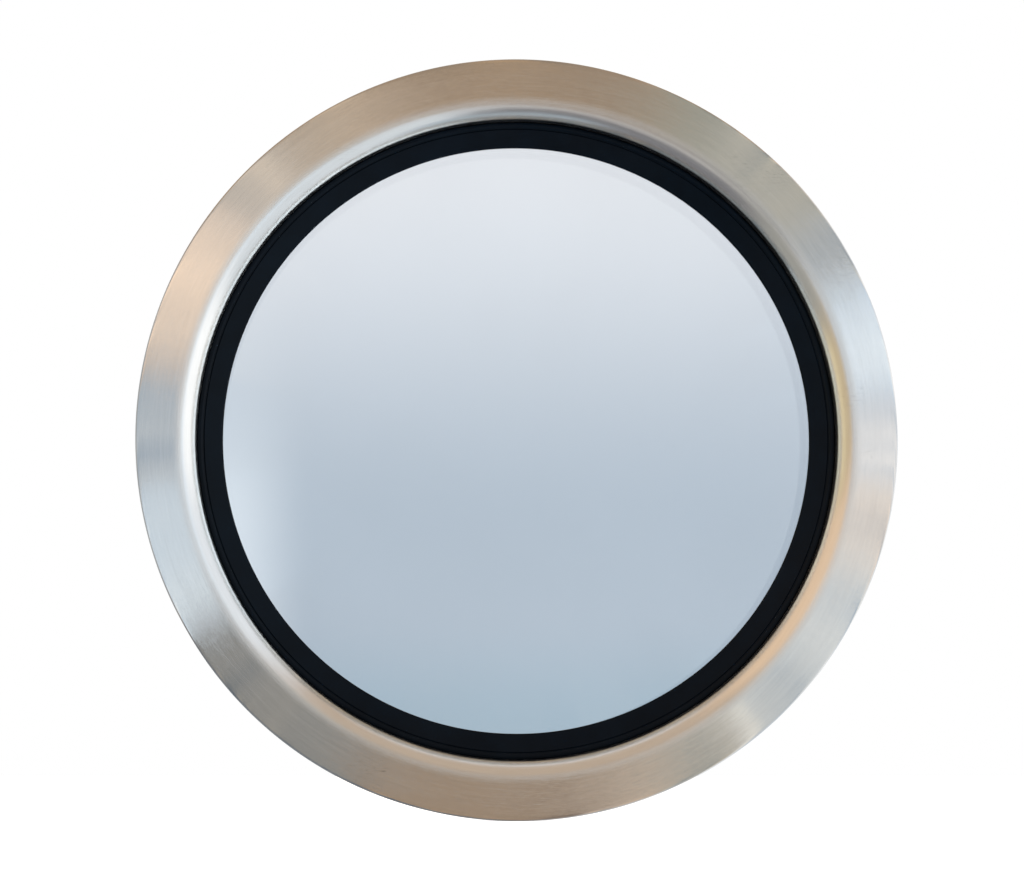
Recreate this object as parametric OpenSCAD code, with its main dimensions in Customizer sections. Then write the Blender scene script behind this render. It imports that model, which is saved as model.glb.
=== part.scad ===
// Round porthole window for a door leaf: two spun stainless steel frames clamp the leaf from
// both faces and hold a sealed double-glazed unit between black rubber gaskets.
// Units are millimetres. The window's axis lies along Y and its front faces -Y. The origin is the
// centre of the window on the leaf's front face.

/* [Door leaf] */
// Thickness of the door leaf that the two frames clamp
door_t = 40; // [36:1:60]

/* [Frames] */
// Outside diameter of each frame
frame_d = 350; // [300:1:450]
// Width of each frame, from its rim to its throat
frame_w = 28; // [25:0.5:36]
// Thickness of the steel sheet
sheet_t = 1.2; // [0.8:0.1:1.5]
// Height of the rim's outer corner above the leaf
rim_h = 6; // [5:0.5:8]
// Outside bend radius where the flange turns down into the rim
rim_r = 2; // [1.6:0.1:3]
// Height of the rolled nose above the leaf
nose_h = 7.5; // [6:0.5:10]
// Outside radius of the rolled nose
nose_r = 8; // [6:0.5:9]
// Gap between the rim's edge and the leaf
rim_gap = 0.3; // [0.1:0.1:1]

/* [Gaskets] */
// Width of the front gasket that shows inside the throat
gasket_w = 12; // [9:0.5:16]
// Width of the rear gasket that shows inside the throat
rear_gasket_w = 8; // [7:0.5:12]
// Height of a gasket's outer bead above the glass
gasket_h = 4.2; // [3.8:0.1:5]
// Height of a gasket's sloping face where it meets the bead
face_h = 3.2; // [2.6:0.1:3.6]
// Thickness of the foot between the throat's edge and the glass
foot_t = 2; // [1.5:0.1:2.5]
// Radius of the bead that wipes the throat
bead_r = 1.5; // [1.2:0.1:1.8]
// Radius of the thin lip that lies on the glass
lip_r = 1; // [0.6:0.1:1.2]
// Radius of the groove between the face and the bead
groove_r = 0.5; // [0.3:0.1:0.7]

/* [Sealed glazing unit] */
// Thickness of each glass pane
glass_t = 4; // [3:0.5:6]
// Width of the cavity between the panes
cavity_w = 16; // [12:1:18]
// Ground bevel on the edges of each pane
arris = 0.5; // [0.2:0.1:1]
// Depth of the sealant between the spacer bar and the panes' edges
sealant_d = 2.5; // [2:0.1:5]
// Radial depth of the spacer bar
spacer_d = 5.5; // [4.5:0.1:6]
// Wall of the hollow spacer bar
spacer_wall = 0.5; // [0.3:0.1:0.8]
// Bevel on the spacer bar's back shoulders
spacer_shoulder = 1.6; // [1:0.1:2]
// Slit where the bent spacer bar's two ends meet
spacer_slit = 0.4; // [0.2:0.1:1]
// Half the angle that the key takes inside the spacer bar
key_half = 6; // [4:1:12]
// Thickness of each butyl bead between the spacer bar and a pane
butyl_t = 0.4; // [0.3:0.05:0.6]

/* [Liner and glazing blocks] */
// Thickness of the liner's rolled strip
liner_t = 1; // [0.8:0.1:1.5]
// Slip gap between the throats and the liner
liner_slip = 0.2; // [0.1:0.05:0.4]
// How far the liner stops short of each face of the leaf
liner_inset = 0.5; // [0.3:0.1:1.5]
// Slit at the liner's butt seam
liner_slit = 0.6; // [0.3:0.1:1.5]
// Radial thickness of the glazing blocks
block_t = 2.8; // [2.4:0.1:4]
// Angle that one glazing block covers
block_sweep = 20; // [12:1:30]
// How far a glazing block stops short of each outer face of the glazing unit
block_inset = 1; // [0.5:0.5:2]
// Angle of the two load-bearing blocks either side of the lowest point
setting_angle = 32; // [20:1:45]
// Angle of the two locating blocks above the horizontal
locating_angle = 20; // [10:1:40]

/* [Clamping hardware] */
// Number of clamp screws
screw_n = 8; // [6:1:12]
// Outside diameter of a threaded sleeve
sleeve_d = 8; // [7:0.5:8.5]
// Diameter of the welded collar on a sleeve
collar_d = 10; // [9.2:0.1:10]
// Thickness of the welded collar
collar_t = 1.5; // [1:0.1:2.5]
// How far a sleeve stops short of the leaf's rear face
sleeve_back = 12; // [8:1:16]
// Depth of the threaded bore in a sleeve
sleeve_bore = 14; // [11:1:15]
// Diameter of a screw's thread
screw_d = 5; // [4:0.5:6]
// Length of a screw below its head's rim
screw_l = 26; // [24:1:30]
// Diameter of a screw's raised countersunk head
head_d = 9.2; // [8.5:0.1:10]
// Height of the raised dome on a screw's head
head_dome = 1.1; // [0.8:0.1:1.5]
// Span of the cross recess in a screw's head
recess_span = 4.4; // [3.5:0.1:5]
// Width of one arm of the cross recess
recess_w = 1; // [0.7:0.1:1.2]
// Depth of the cross recess below the dome's top
recess_depth = 2.2; // [1.5:0.1:2.6]
// Clearance round a screw's thread where it passes through the rear frame
hole_clear = 0.3; // [0.1:0.05:0.6]
// Clearance round a screw's head at the dimple's mouth
head_clear = 0.2; // [0.1:0.05:0.5]
// Straight land at the bottom of a dimple
dimple_land = 0.6; // [0.4:0.1:1]

/* [Flange seals] */
// Gap between the foam seal and the rim's inside
seal_rim_gap = 1; // [0.5:0.1:1.5]
// Gap between the foam seal and the sleeves' collars
seal_sleeve_gap = 0.8; // [0.5:0.1:2]

/* [Hidden] */
$fn = 144;

// Clearance left between curved faces that seat on each other
fit_gap = 0.05;
// Overshoot that lets a cut pass cleanly through a face
overcut = 1;
// How far the flange's line sinks into the bends at its ends, so that each pair meets in one edge
bend_bite = 0.002;

frame_r = frame_d / 2;
throat_r = frame_r - frame_w;
liner_in_r = throat_r + sheet_t + liner_slip;
liner_out_r = liner_in_r + liner_t;
// The screws lie midway between the rim and the throat
bolt_r = frame_r - frame_w / 2;

// The glazing unit is centred in the leaf's thickness
unit_t = 2 * glass_t + cavity_w;
unit_r = liner_in_r - block_t - 2 * fit_gap;
glass_h = -(door_t - unit_t) / 2;
cavity_h = glass_h - glass_t;
spacer_r = unit_r - sealant_d - spacer_d;
spacer_w = cavity_w - 2 * butyl_t;

// The throat's edge stands on the gasket's foot
throat_end = glass_h + foot_t + fit_gap;

// The flange is the common tangent of the rim's bend and the nose
rim_c = [frame_r - rim_r, rim_h - rim_r];
nose_c = [throat_r + nose_r, nose_h - nose_r];
flange_span = rim_c - nose_c;
flange_fall = asin((nose_r - rim_r) / norm(flange_span)) - atan2(flange_span.y, flange_span.x);
flange_n = [sin(flange_fall), cos(flange_fall)];
flange_start = nose_c + nose_r * flange_n;

// Height of the flange's visible face at radius r, pulled in by inset
function flange_h(r, inset = 0) =
    flange_start.y - (r - flange_start.x) * tan(flange_fall) - inset / cos(flange_fall);

screw_r = screw_d / 2;
head_r = head_d / 2;
hole_r = screw_r + hole_clear;
dimple_r = head_r + head_clear;
dimple_depth = dimple_r - hole_r;
// The head's cone seats in the dimple's cone, both at 45 degrees
head_drop = head_clear - fit_gap * sqrt(2);
seal_in_r = bolt_r + collar_d / 2 + seal_sleeve_gap;
seal_out_r = frame_r - sheet_t - seal_rim_gap;

// Turns the window's axis from Z to -Y, so that its front faces -Y
module upright() {
    rotate([90, 0, 0]) children();
}

// Revolves a section, given as radius and height in front of the leaf, about the window's axis
module spin(start = 0, sweep = 360) {
    rotate([0, 0, start]) rotate_extrude(angle = sweep) children();
}

// Turns a piece made for the front face round to the rear face
module at_rear() {
    translate([0, 0, -door_t]) mirror([0, 0, 1]) children();
}

// Places a copy at each clamp screw, half a pitch off the vertical
module on_bolt_circle() {
    pitch = 360 / screw_n;
    for (i = [0 : screw_n - 1])
        rotate([0, 0, 90 + (i + 0.5) * pitch]) translate([bolt_r, 0, 0]) children();
}

// Upper half of a disc
module dome(r) {
    intersection() {
        circle(r);
        translate([-r, 0]) square([2 * r, r]);
    }
}

// Filled section under a frame's visible skin, pulled in by inset and lowered at its open ends by drop
module skin_form(inset, drop) {
    outer = frame_r - inset;
    inner = throat_r + inset;
    step = nose_c.x + drop;
    rim_bend = rim_r - inset;
    nose_bend = nose_r - inset;
    translate(rim_c) dome(rim_bend);
    translate(nose_c) dome(nose_bend);
    polygon([
        [outer, rim_gap - drop], [outer, rim_c.y],
        rim_c + (rim_bend - bend_bite) * flange_n, nose_c + (nose_bend - bend_bite) * flange_n,
        [inner, nose_c.y], [inner, throat_end - drop], [step, throat_end - drop], [step, rim_gap - drop]
    ]);
}

// One spun ring: rim, conical flange, rolled nose and throat in a single sheet
module spun_ring() {
    spin() difference() {
        skin_form(0, 0);
        skin_form(sheet_t, overcut);
    }
}

module front_frame() {
    color("silver") upright() spun_ring();
}

// Outside of a pressed dimple, on the hidden side of the flange
module dimple_cup() {
    wall = sheet_t * sqrt(2);
    top = sheet_t / 2;
    bottom = dimple_depth + dimple_land;
    translate([0, 0, -bottom])
        cylinder(h = bottom - top, r1 = hole_r + wall - dimple_land, r2 = dimple_r + wall - top);
}

// Countersunk opening of a dimple, on the visible side of the flange
module dimple_mouth() {
    drop = dimple_depth + dimple_land + overcut;
    translate([0, 0, -dimple_depth])
        cylinder(h = dimple_depth + overcut, r1 = hole_r, r2 = dimple_r + overcut);
    translate([0, 0, -drop]) cylinder(h = drop, r = hole_r);
}

module rear_frame() {
    color("silver") upright() at_rear() difference() {
        union() {
            spun_ring();
            on_bolt_circle() translate([0, 0, flange_h(bolt_r)]) dimple_cup();
        }
        on_bolt_circle() translate([0, 0, flange_h(bolt_r)]) dimple_mouth();
    }
}

// Internally threaded sleeves welded under the front flange, coped to its slope
module weld_sleeves() {
    base_h = flange_h(bolt_r, sheet_t);
    end_h = sleeve_back - door_t;
    color("gainsboro") upright() intersection() {
        on_bolt_circle() difference() {
            union() {
                translate([0, 0, end_h]) cylinder(h = base_h - end_h, d = sleeve_d);
                translate([0, 0, base_h - collar_t]) cylinder(h = collar_t + overcut, d = collar_d);
            }
            translate([0, 0, end_h - overcut]) cylinder(h = sleeve_bore + overcut, r = screw_r + fit_gap);
        }
        spin() skin_form(sheet_t + fit_gap, door_t);
    }
}

// Raised countersunk screw with a cross recess, its head's rim at the origin and its tip along -Z
module raised_screw() {
    dome_r = (head_r * head_r + head_dome * head_dome) / (2 * head_dome);
    cone = head_r - screw_r;
    point = screw_r / 2;
    difference() {
        union() {
            spin() intersection() {
                translate([0, head_dome - dome_r]) circle(dome_r);
                square([head_r, head_dome]);
            }
            translate([0, 0, -cone]) cylinder(h = cone, r1 = screw_r, r2 = head_r);
            translate([0, 0, point - screw_l]) cylinder(h = screw_l - point - cone, r = screw_r);
            translate([0, 0, -screw_l]) cylinder(h = point, r1 = screw_r - point, r2 = screw_r);
        }
        for (turn = [0, 90]) rotate([0, 0, turn])
            translate([-recess_span / 2, -recess_w / 2, head_dome - recess_depth])
                cube([recess_span, recess_w, recess_depth + overcut]);
    }
}

module clamp_screws() {
    color("lightgray") upright() at_rear() on_bolt_circle()
        translate([0, 0, flange_h(bolt_r) - head_drop]) raised_screw();
}

// Closed-cell foam tape between a flange and the leaf
module foam_ring() {
    lift = sheet_t + fit_gap;
    spin() polygon([
        [seal_in_r, 0], [seal_out_r, 0],
        [seal_out_r, flange_h(seal_out_r, lift)], [seal_in_r, flange_h(seal_in_r, lift)]
    ]);
}

module front_foam_seal() {
    color("dimgray") upright() foam_ring();
}

module rear_foam_seal() {
    color("dimgray") upright() at_rear() foam_ring();
}

// Glazing gasket: a sloping face from a thin lip on the glass up to a bead that wipes the throat,
// and a foot under the throat's edge
module gasket_ring(width) {
    wall = throat_r - fit_gap;
    lip = [throat_r - width + lip_r, glass_h + lip_r];
    bead = [wall - bead_r, glass_h + gasket_h - bead_r];
    face_end = [bead.x - bead_r, glass_h + face_h];
    spin() difference() {
        union() {
            translate(lip) circle(lip_r);
            translate(bead) circle(bead_r);
            polygon([
                [lip.x, glass_h], [throat_r + sheet_t, glass_h], [throat_r + sheet_t, glass_h + foot_t],
                [wall, glass_h + foot_t], [wall, bead.y], bead, face_end, [lip.x, lip.y + lip_r]
            ]);
        }
        translate(face_end) circle(groove_r);
    }
}

module front_gasket() {
    color("black") upright() gasket_ring(gasket_w);
}

module rear_gasket() {
    color("black") upright() at_rear() gasket_ring(rear_gasket_w);
}

// Glass disc with a ground bevel on both edges, its front face at the origin
module pane() {
    spin() polygon([
        [0, 0], [unit_r - arris, 0], [unit_r, -arris],
        [unit_r, arris - glass_t], [unit_r - arris, -glass_t], [0, -glass_t]
    ]);
}

module outer_pane() {
    color("lightsteelblue", 0.5) upright() translate([0, 0, glass_h]) pane();
}

module inner_pane() {
    color("lightsteelblue", 0.5) upright() translate([0, 0, cavity_h - cavity_w]) pane();
}

// Outline of the spacer bar, pulled in by inset, with bevelled back shoulders
module spacer_outline(inset) {
    front = spacer_r + inset;
    back = spacer_r + spacer_d - inset;
    half = spacer_w / 2 - inset;
    translate([0, cavity_h - cavity_w / 2]) polygon([
        [front, half], [back - spacer_shoulder, half], [back, half - spacer_shoulder],
        [back, spacer_shoulder - half], [back - spacer_shoulder, -half], [front, -half]
    ]);
}

// Hollow bar bent into a ring, its ends meeting at the top
module spacer_bar() {
    color("darkgray") upright() difference() {
        spin() difference() {
            spacer_outline(0);
            spacer_outline(spacer_wall);
        }
        translate([-spacer_slit / 2, 0, cavity_h - cavity_w])
            cube([spacer_slit, spacer_r + spacer_d + overcut, cavity_w]);
    }
}

// Straight connector inside the bar, across the slit at the top
module spacer_key() {
    color("slategray") upright() spin(90 - key_half, 2 * key_half) spacer_outline(spacer_wall + fit_gap);
}

// Drying beads that fill the rest of the bar
module desiccant() {
    clear = key_half + fit_gap;
    color("beige") upright() spin(90 + clear, 360 - 2 * clear) spacer_outline(spacer_wall + fit_gap);
}

// Thin bead that bonds one side of the spacer bar to a pane
module butyl_bead(height) {
    translate([spacer_r, height]) square([spacer_d - spacer_shoulder, butyl_t]);
}

module front_butyl_bead() {
    color("black") upright() spin() butyl_bead(cavity_h - butyl_t);
}

module rear_butyl_bead() {
    color("black") upright() spin() butyl_bead(cavity_h - cavity_w);
}

// Sealant behind the spacer bar, flush with the panes' edges
module edge_sealant() {
    inner = spacer_r + spacer_d - spacer_shoulder + fit_gap;
    color("darkslategray") upright() spin() difference() {
        translate([inner, cavity_h - cavity_w]) square([unit_r - inner, cavity_w]);
        spacer_outline(-fit_gap);
    }
}

// One curved block between the glazing unit's edge and the liner, centred on an angle
module glazing_block(angle) {
    spin(angle - block_sweep / 2, block_sweep)
        translate([unit_r + fit_gap, glass_h - unit_t + block_inset])
            square([block_t, unit_t - 2 * block_inset]);
}

module setting_blocks() {
    color("dodgerblue") upright() for (side = [-1, 1]) glazing_block(270 + side * setting_angle);
}

module locating_blocks() {
    color("dodgerblue") upright() for (side = [-1, 1]) glazing_block(90 + side * (90 - locating_angle));
}

// Rolled strip that lines the hole in the leaf and slips over both throats
module liner_sleeve() {
    color("silver") upright() difference() {
        spin() translate([liner_in_r, liner_inset - door_t]) square([liner_t, door_t - 2 * liner_inset]);
        translate([-liner_slit / 2, 0, -door_t]) cube([liner_slit, liner_out_r + overcut, door_t]);
    }
}

front_frame();
weld_sleeves();
front_foam_seal();
front_gasket();
outer_pane();
front_butyl_bead();
spacer_bar();
spacer_key();
desiccant();
rear_butyl_bead();
edge_sealant();
inner_pane();
setting_blocks();
locating_blocks();
liner_sleeve();
rear_gasket();
rear_foam_seal();
rear_frame();
clamp_screws();
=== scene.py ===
"""Dresses a round porthole window for a door: steel frames, gaskets, sealed glazing and screws."""

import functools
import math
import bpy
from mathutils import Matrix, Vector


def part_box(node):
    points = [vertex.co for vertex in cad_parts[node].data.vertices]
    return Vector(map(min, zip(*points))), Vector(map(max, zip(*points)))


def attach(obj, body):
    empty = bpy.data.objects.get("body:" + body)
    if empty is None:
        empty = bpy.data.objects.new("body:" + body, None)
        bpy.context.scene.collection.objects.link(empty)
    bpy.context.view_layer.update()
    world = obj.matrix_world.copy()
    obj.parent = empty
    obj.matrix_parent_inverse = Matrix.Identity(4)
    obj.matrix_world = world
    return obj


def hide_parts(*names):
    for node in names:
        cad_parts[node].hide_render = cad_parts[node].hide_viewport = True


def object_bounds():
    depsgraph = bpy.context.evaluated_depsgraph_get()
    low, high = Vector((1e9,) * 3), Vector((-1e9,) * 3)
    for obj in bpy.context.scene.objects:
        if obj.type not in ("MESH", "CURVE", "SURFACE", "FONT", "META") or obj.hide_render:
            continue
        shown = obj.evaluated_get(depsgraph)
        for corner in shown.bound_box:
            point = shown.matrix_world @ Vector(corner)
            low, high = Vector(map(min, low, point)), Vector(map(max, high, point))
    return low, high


bl_info = {
    "name": "Porthole Window",
    "version": (1, 0, 0),
    "blender": (4, 5, 0),
    "location": "View3D > Sidebar > Porthole",
    "description": "Builds the visible pieces of a round door window on its fixed frame",
    "category": "Object",
}

import bmesh
import bpy
from bpy.props import FloatProperty, FloatVectorProperty, IntProperty, PointerProperty
from mathutils import Vector

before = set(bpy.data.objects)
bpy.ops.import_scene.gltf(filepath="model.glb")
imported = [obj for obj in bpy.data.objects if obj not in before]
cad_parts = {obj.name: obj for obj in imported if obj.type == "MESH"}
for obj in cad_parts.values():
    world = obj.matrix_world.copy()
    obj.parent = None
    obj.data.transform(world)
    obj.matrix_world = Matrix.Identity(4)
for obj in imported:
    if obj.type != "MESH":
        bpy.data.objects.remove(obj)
cad_box = [list(corner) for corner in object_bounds()]
front_low, front_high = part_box("front_frame")
pane_low, pane_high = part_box("outer_pane")

MM = 0.001

# Divisions of the sections' curves
RIM_STEPS = 8
NOSE_STEPS = 28
LIP_STEPS = 14
FACE_STEPS = 6
BEAD_STEPS = 16
SIDE_STEPS = 6

# Divisions round each ring
FRAME_STEPS = 720
GASKET_STEPS = 480
SEAL_STEPS = 360
PANE_STEPS = 360
SPACER_STEPS = 358
LINER_STEPS = 480
SLEEVE_STEPS = 40
SCREW_STEPS = 24
REFLECTOR_STEPS = 120

# Rows and columns of a frame's flange that a dimple takes up
ROWS = 16
ROW_REACH = 0.0066
ROW_HALF_COLUMNS = 5

SEAL_BULGE = 0.00025

# A sleeve's broken edge, drill point, weld fillet and chamfer
SLEEVE_EDGE = 0.0004
DRILL_POINT = 0.0012
DRILL_CORNER = 0.0014
WELD_FILLET = 0.0003
FILLET_FOOT = 0.0002
FILLET_RISE = 0.00005
COLLAR_EDGE = 0.0001
WELD_DROP = 0.0006

# A screw's thread and the edges of its head
DOME_RINGS = 6
DOME_EDGE = 0.00012
RIM_DROP = 0.00006
CONE_EDGE = 0.0001
CONE_DROP = 0.0002
NECK_FILLET = 0.00005
NECK = 0.0003
THREAD_START = 0.0006
THREAD_DEPTH = 0.00038
ROWS_PER_PITCH = 6
RUNOUT_ROWS = 4
FLANK = 0.42
CREST_CUT = 1.25
MERGE_DISTANCE = 1e-7


def length(name, description, default):
    """A size in metres that a user may change."""
    return FloatProperty(name=name, description=description, default=default, precision=5, unit="LENGTH")


def tint(name, description, default):
    """A colour that a user may change."""
    return FloatVectorProperty(
        name=name, description=description, default=default, size=3, min=0.0, max=4.0, subtype="COLOR"
    )


def share(name, description, default):
    """A number from 0 to 1 that a user may change."""
    return FloatProperty(
        name=name, description=description, default=default, min=0.0, max=1.0, subtype="FACTOR"
    )


def bearing(name, description, degrees):
    """An angle that a user may change."""
    return FloatProperty(
        name=name, description=description, default=math.radians(degrees), subtype="ANGLE"
    )


class PortholeSizes(bpy.types.PropertyGroup):
    """Sizes of the window's pieces, in metres."""

    leaf: length("Leaf", "Thickness of the door leaf between the two frames", 0.040)
    frame_r: length("Frame radius", "Outside radius of each frame", front_high.x)
    throat_r: length("Throat radius", "Inside radius of each frame", 0.147)
    sheet: length("Sheet", "Thickness of the steel sheet", 0.0012)
    rim_h: length("Rim height", "Height of the rim's outer corner above the leaf", 0.006)
    rim_bend: length("Rim bend", "Outside radius of the bend into the rim", 0.002)
    rim_gap: length("Rim gap", "Gap between the rim's edge and the leaf", 0.0003)
    nose_h: length("Nose height", "Height of the rolled nose above the leaf", -front_low.y)
    nose_bend: length("Nose bend", "Outside radius of the rolled nose", 0.008)
    ease: length("Nose ease", "How far the nose's bend eases into the flange", 0.0020)
    throat_end: length("Throat end", "Depth of the throat's edge behind the leaf's face", front_high.y)
    burr: length("Broken edge", "Width of the broken edge on cut sheet", 0.0002)
    glass_d: length("Glass depth", "Depth of the outer glass face behind the leaf's face", pane_low.y)
    pane: length("Pane", "Thickness of one pane", pane_high.y - pane_low.y)
    cavity: length("Cavity", "Width of the cavity between the panes", 0.016)
    unit_r: length("Glazing radius", "Radius of the sealed glazing unit", pane_high.x)
    arris: length("Arris", "Ground bevel on a pane's edges", 0.0005)
    gasket_w: length("Front gasket width", "Width of the front gasket inside the throat", 0.012)
    rear_gasket_w: length("Rear gasket width", "Width of the rear gasket inside the throat", 0.008)
    gasket_h: length("Gasket height", "Height of a gasket's bead above the glass", 0.0042)
    face_h: length("Gasket face height", "Height of a gasket's face where it meets the bead", 0.0032)
    foot: length("Gasket foot", "Thickness of the foot between throat and glass", 0.002)
    bead_r: length("Bead radius", "Radius of the bead that wipes the throat", 0.0015)
    lip_r: length("Lip radius", "Radius of the lip that lies on the glass", 0.001)
    groove_r: length("Groove radius", "Radius of the groove beside the bead", 0.0005)
    fit: length("Fit", "Clearance between pieces that seat on each other", 0.00005)
    spacer_r: length("Spacer radius", "Inside radius of the spacer bar", 0.1375)
    spacer_d: length("Spacer depth", "Radial depth of the spacer bar", 0.0055)
    spacer_w: length("Spacer width", "Width of the spacer bar between the panes", 0.0152)
    spacer_wall: length("Spacer wall", "Wall of the hollow spacer bar", 0.0005)
    shoulder: length("Spacer shoulder", "Bevel on the spacer bar's back", 0.0016)
    spacer_slit: length("Spacer slit", "Slit where the spacer bar's ends meet", 0.0004)
    slot_pitch: length("Slot pitch", "Distance between two breathing slots of the spacer bar", 0.0045)
    liner_r: length("Liner radius", "Inside radius of the liner", 0.1484)
    liner: length("Liner", "Thickness of the liner's strip", 0.001)
    liner_inset: length("Liner inset", "How far the liner stops short of the leaf's faces", 0.0005)
    liner_slit: length("Liner slit", "Slit at the liner's butt seam", 0.0006)
    bolt_r: length("Bolt circle radius", "Radius of the circle that the screws lie on", 0.161)
    bolts: IntProperty(name="Bolts", description="Number of clamp screws", default=8, min=3, max=24)
    sleeve_r: length("Sleeve radius", "Outside radius of a threaded sleeve", 0.004)
    collar_r: length("Collar radius", "Radius of a sleeve's welded collar", 0.005)
    collar: length("Collar", "Thickness of a sleeve's welded collar", 0.0015)
    sleeve_back: length("Sleeve back", "How far a sleeve stops short of the leaf's rear face", 0.012)
    sleeve_bore: length("Sleeve bore", "Depth of a sleeve's threaded bore", 0.014)
    screw_r: length("Screw radius", "Outside radius of a screw's thread", 0.0025)
    screw_l: length("Screw length", "Length of a screw below its head's rim", 0.026)
    thread: length("Thread pitch", "Pitch of a screw's thread", 0.0008)
    head_r: length("Head radius", "Radius of a screw's raised head", 0.0046)
    head_dome: length("Head dome", "Height of the dome on a screw's head", 0.0011)
    head_sink: length("Head sink", "How far a head's rim lies below the flange", 0.00012929)
    recess_span: length("Recess span", "Span of the cross recess", 0.0044)
    recess_w: length("Recess width", "Width of one arm of the cross recess", 0.001)
    recess_d: length("Recess depth", "Depth of the cross recess below the dome's top", 0.0022)
    hole_r: length("Hole radius", "Radius of a screw hole in the rear frame", 0.0028)
    mouth_r: length("Dimple mouth radius", "Radius of a dimple's countersunk mouth", 0.0048)
    land: length("Dimple land", "Straight land at the bottom of a dimple", 0.0006)
    seal_in: length("Seal inside", "Inside radius of the foam seals", 0.1668)
    seal_out: length("Seal outside", "Outside radius of the foam seals", 0.1728)


class PortholeFinish(bpy.types.PropertyGroup):
    """Colours and gloss of the window's materials."""

    steel_light: tint("Steel, light", "Light tone of the brushed steel", (0.648, 0.64, 0.628))
    steel_dark: tint("Steel, dark", "Dark tone of the brushed steel", (0.598, 0.59, 0.578))
    steel_rough: share("Steel roughness", "Middle roughness of the brushed steel", 0.088)
    # The gasket colour is near black with a faint blue tint. The blue is a painted reflection of blue light.
    rubber: tint("Gasket rubber", "Colour of the gaskets", (0.0009, 0.0032, 0.0068))
    rubber_rough: share("Gasket roughness", "Middle roughness of the gaskets", 0.20)
    foam: tint("Foam", "Colour of the foam seals", (0.020, 0.020, 0.022))
    glass: tint("Glass", "Tint of the panes", (0.93, 0.965, 0.975))
    alloy: tint("Spacer alloy", "Colour of the spacer bar", (0.60, 0.61, 0.62))
    zinc: tint("Zinc", "Colour of the plated sleeves", (0.62, 0.63, 0.64))
    blocks: tint("Blocks", "Colour of the glazing blocks", (0.10, 0.28, 0.52))


class PortholeStage(bpy.types.PropertyGroup):
    """Camera and studio."""

    azimuth: bearing("Azimuth", "Camera's angle round the window", -2.6)
    elevation: bearing("Elevation", "Camera's angle above the window", -3.5)
    distance: length("Distance", "From the camera to the window", 2.5)
    focal: FloatProperty(
        name="Focal length", description="Camera lens, in millimetres", default=191.4, unit="CAMERA"
    )
    aim: FloatVectorProperty(
        name="Aim",
        description="Point that the camera looks at",
        default=(-0.00246, 0.0, -0.00036),
        subtype="TRANSLATION",
    )
    floor: tint("Floor", "Colour of the floor", (0.92, 0.92, 0.92))
    sky: tint("Sky", "Light that the panes show when the window is seen from other sides", (0.74, 0.80, 0.86))
    fill: tint("Fill", "Light of the room in front of the window", (0.52, 0.39, 0.28))


def sizes():
    """The sizes that the pieces are built from."""
    return bpy.context.scene.porthole_sizes


def finish():
    """The colours that the materials are built from."""
    return bpy.context.scene.porthole_finish


def toned(colour, part):
    """A colour times a number."""
    return tuple(part * c for c in colour)


# Sections are lists of points (radius, height in front of the leaf's face).


def arc(centre, radius, start, end, steps):
    """Points on an arc, from the start angle to the end angle in radians."""
    turns = [start + (end - start) * i / steps for i in range(steps + 1)]
    return [(centre[0] + radius * math.cos(t), centre[1] + radius * math.sin(t)) for t in turns]


def flange_geometry(s):
    """Centres of the rim's bend and of the nose, and the angle by which the flange falls outwards."""
    rim = (s.frame_r - s.rim_bend, s.rim_h - s.rim_bend)
    nose = (s.throat_r + s.nose_bend, s.nose_h - s.nose_bend)
    span = (rim[0] - nose[0], rim[1] - nose[1])
    fall = math.asin((s.nose_bend - s.rim_bend) / math.hypot(*span)) - math.atan2(span[1], span[0])
    return rim, nose, fall


def skin_height(s, radius, inset=0.0):
    """Height of the flange or the nose at a radius, pulled in by inset. The nose's bend eases in."""
    _, nose, fall = flange_geometry(s)
    bend = s.nose_bend - inset
    along = radius - nose[0] - bend * math.sin(fall)
    line = nose[1] + bend * math.cos(fall) - along * math.tan(fall)
    if along >= 2 * s.ease:
        return line
    if along >= -s.ease:
        part = (2 * s.ease - along) / (3 * s.ease)
        return line - 0.75 * s.ease**2 * part**4 / (bend * math.cos(fall) ** 3)
    drop = s.ease**2 / (4 * bend * math.cos(fall) ** 3)
    return nose[1] + math.sqrt(max(bend * bend - (radius - nose[0]) ** 2, 0.0)) - drop


def frame_section(s):
    """Closed section of a spun frame, and the index of the first flange row on each of its two skins."""
    rim, nose, fall = flange_geometry(s)
    lean = math.pi / 2 - fall
    rows = [s.bolt_r + ROW_REACH - 2 * ROW_REACH * i / ROWS for i in range(ROWS + 1)]

    def skin(inset):
        bend = s.nose_bend - inset
        turn = math.acos((rows[-1] - nose[0]) / bend)
        return (
            arc(rim, s.rim_bend - inset, 0.0, lean, RIM_STEPS),
            [(r, skin_height(s, r, inset)) for r in rows],
            [(r, skin_height(s, r, inset)) for r, _ in arc(nose, bend, turn, math.pi, NOSE_STEPS)[1:]],
        )

    rim_out, rows_out, nose_out = skin(0.0)
    rim_in, rows_in, nose_in = skin(s.sheet)
    b = s.burr
    bottom = -s.throat_end
    section = [(s.frame_r - b, s.rim_gap), (s.frame_r, s.rim_gap + b)] + rim_out
    first_out = len(section)
    section += rows_out + nose_out
    section += [
        (s.throat_r, bottom + b),
        (s.throat_r + b, bottom),
        (s.throat_r + s.sheet - b, bottom),
        (s.throat_r + s.sheet, bottom + b),
    ]
    section += nose_in[::-1]
    first_in = len(section)
    section += rows_in[::-1] + rim_in[::-1]
    section += [(s.frame_r - s.sheet, s.rim_gap + b), (s.frame_r - s.sheet + b, s.rim_gap)]
    return section, first_out, first_in


def circle_cut(a, ra, b, rb):
    """Angle, seen from circle a's centre, of the upper point where circle a meets circle b."""
    gap = math.hypot(b[0] - a[0], b[1] - a[1])
    along = (ra * ra - rb * rb + gap * gap) / (2 * gap)
    return math.atan2(b[1] - a[1], b[0] - a[0]) + math.acos(along / ra)


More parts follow.
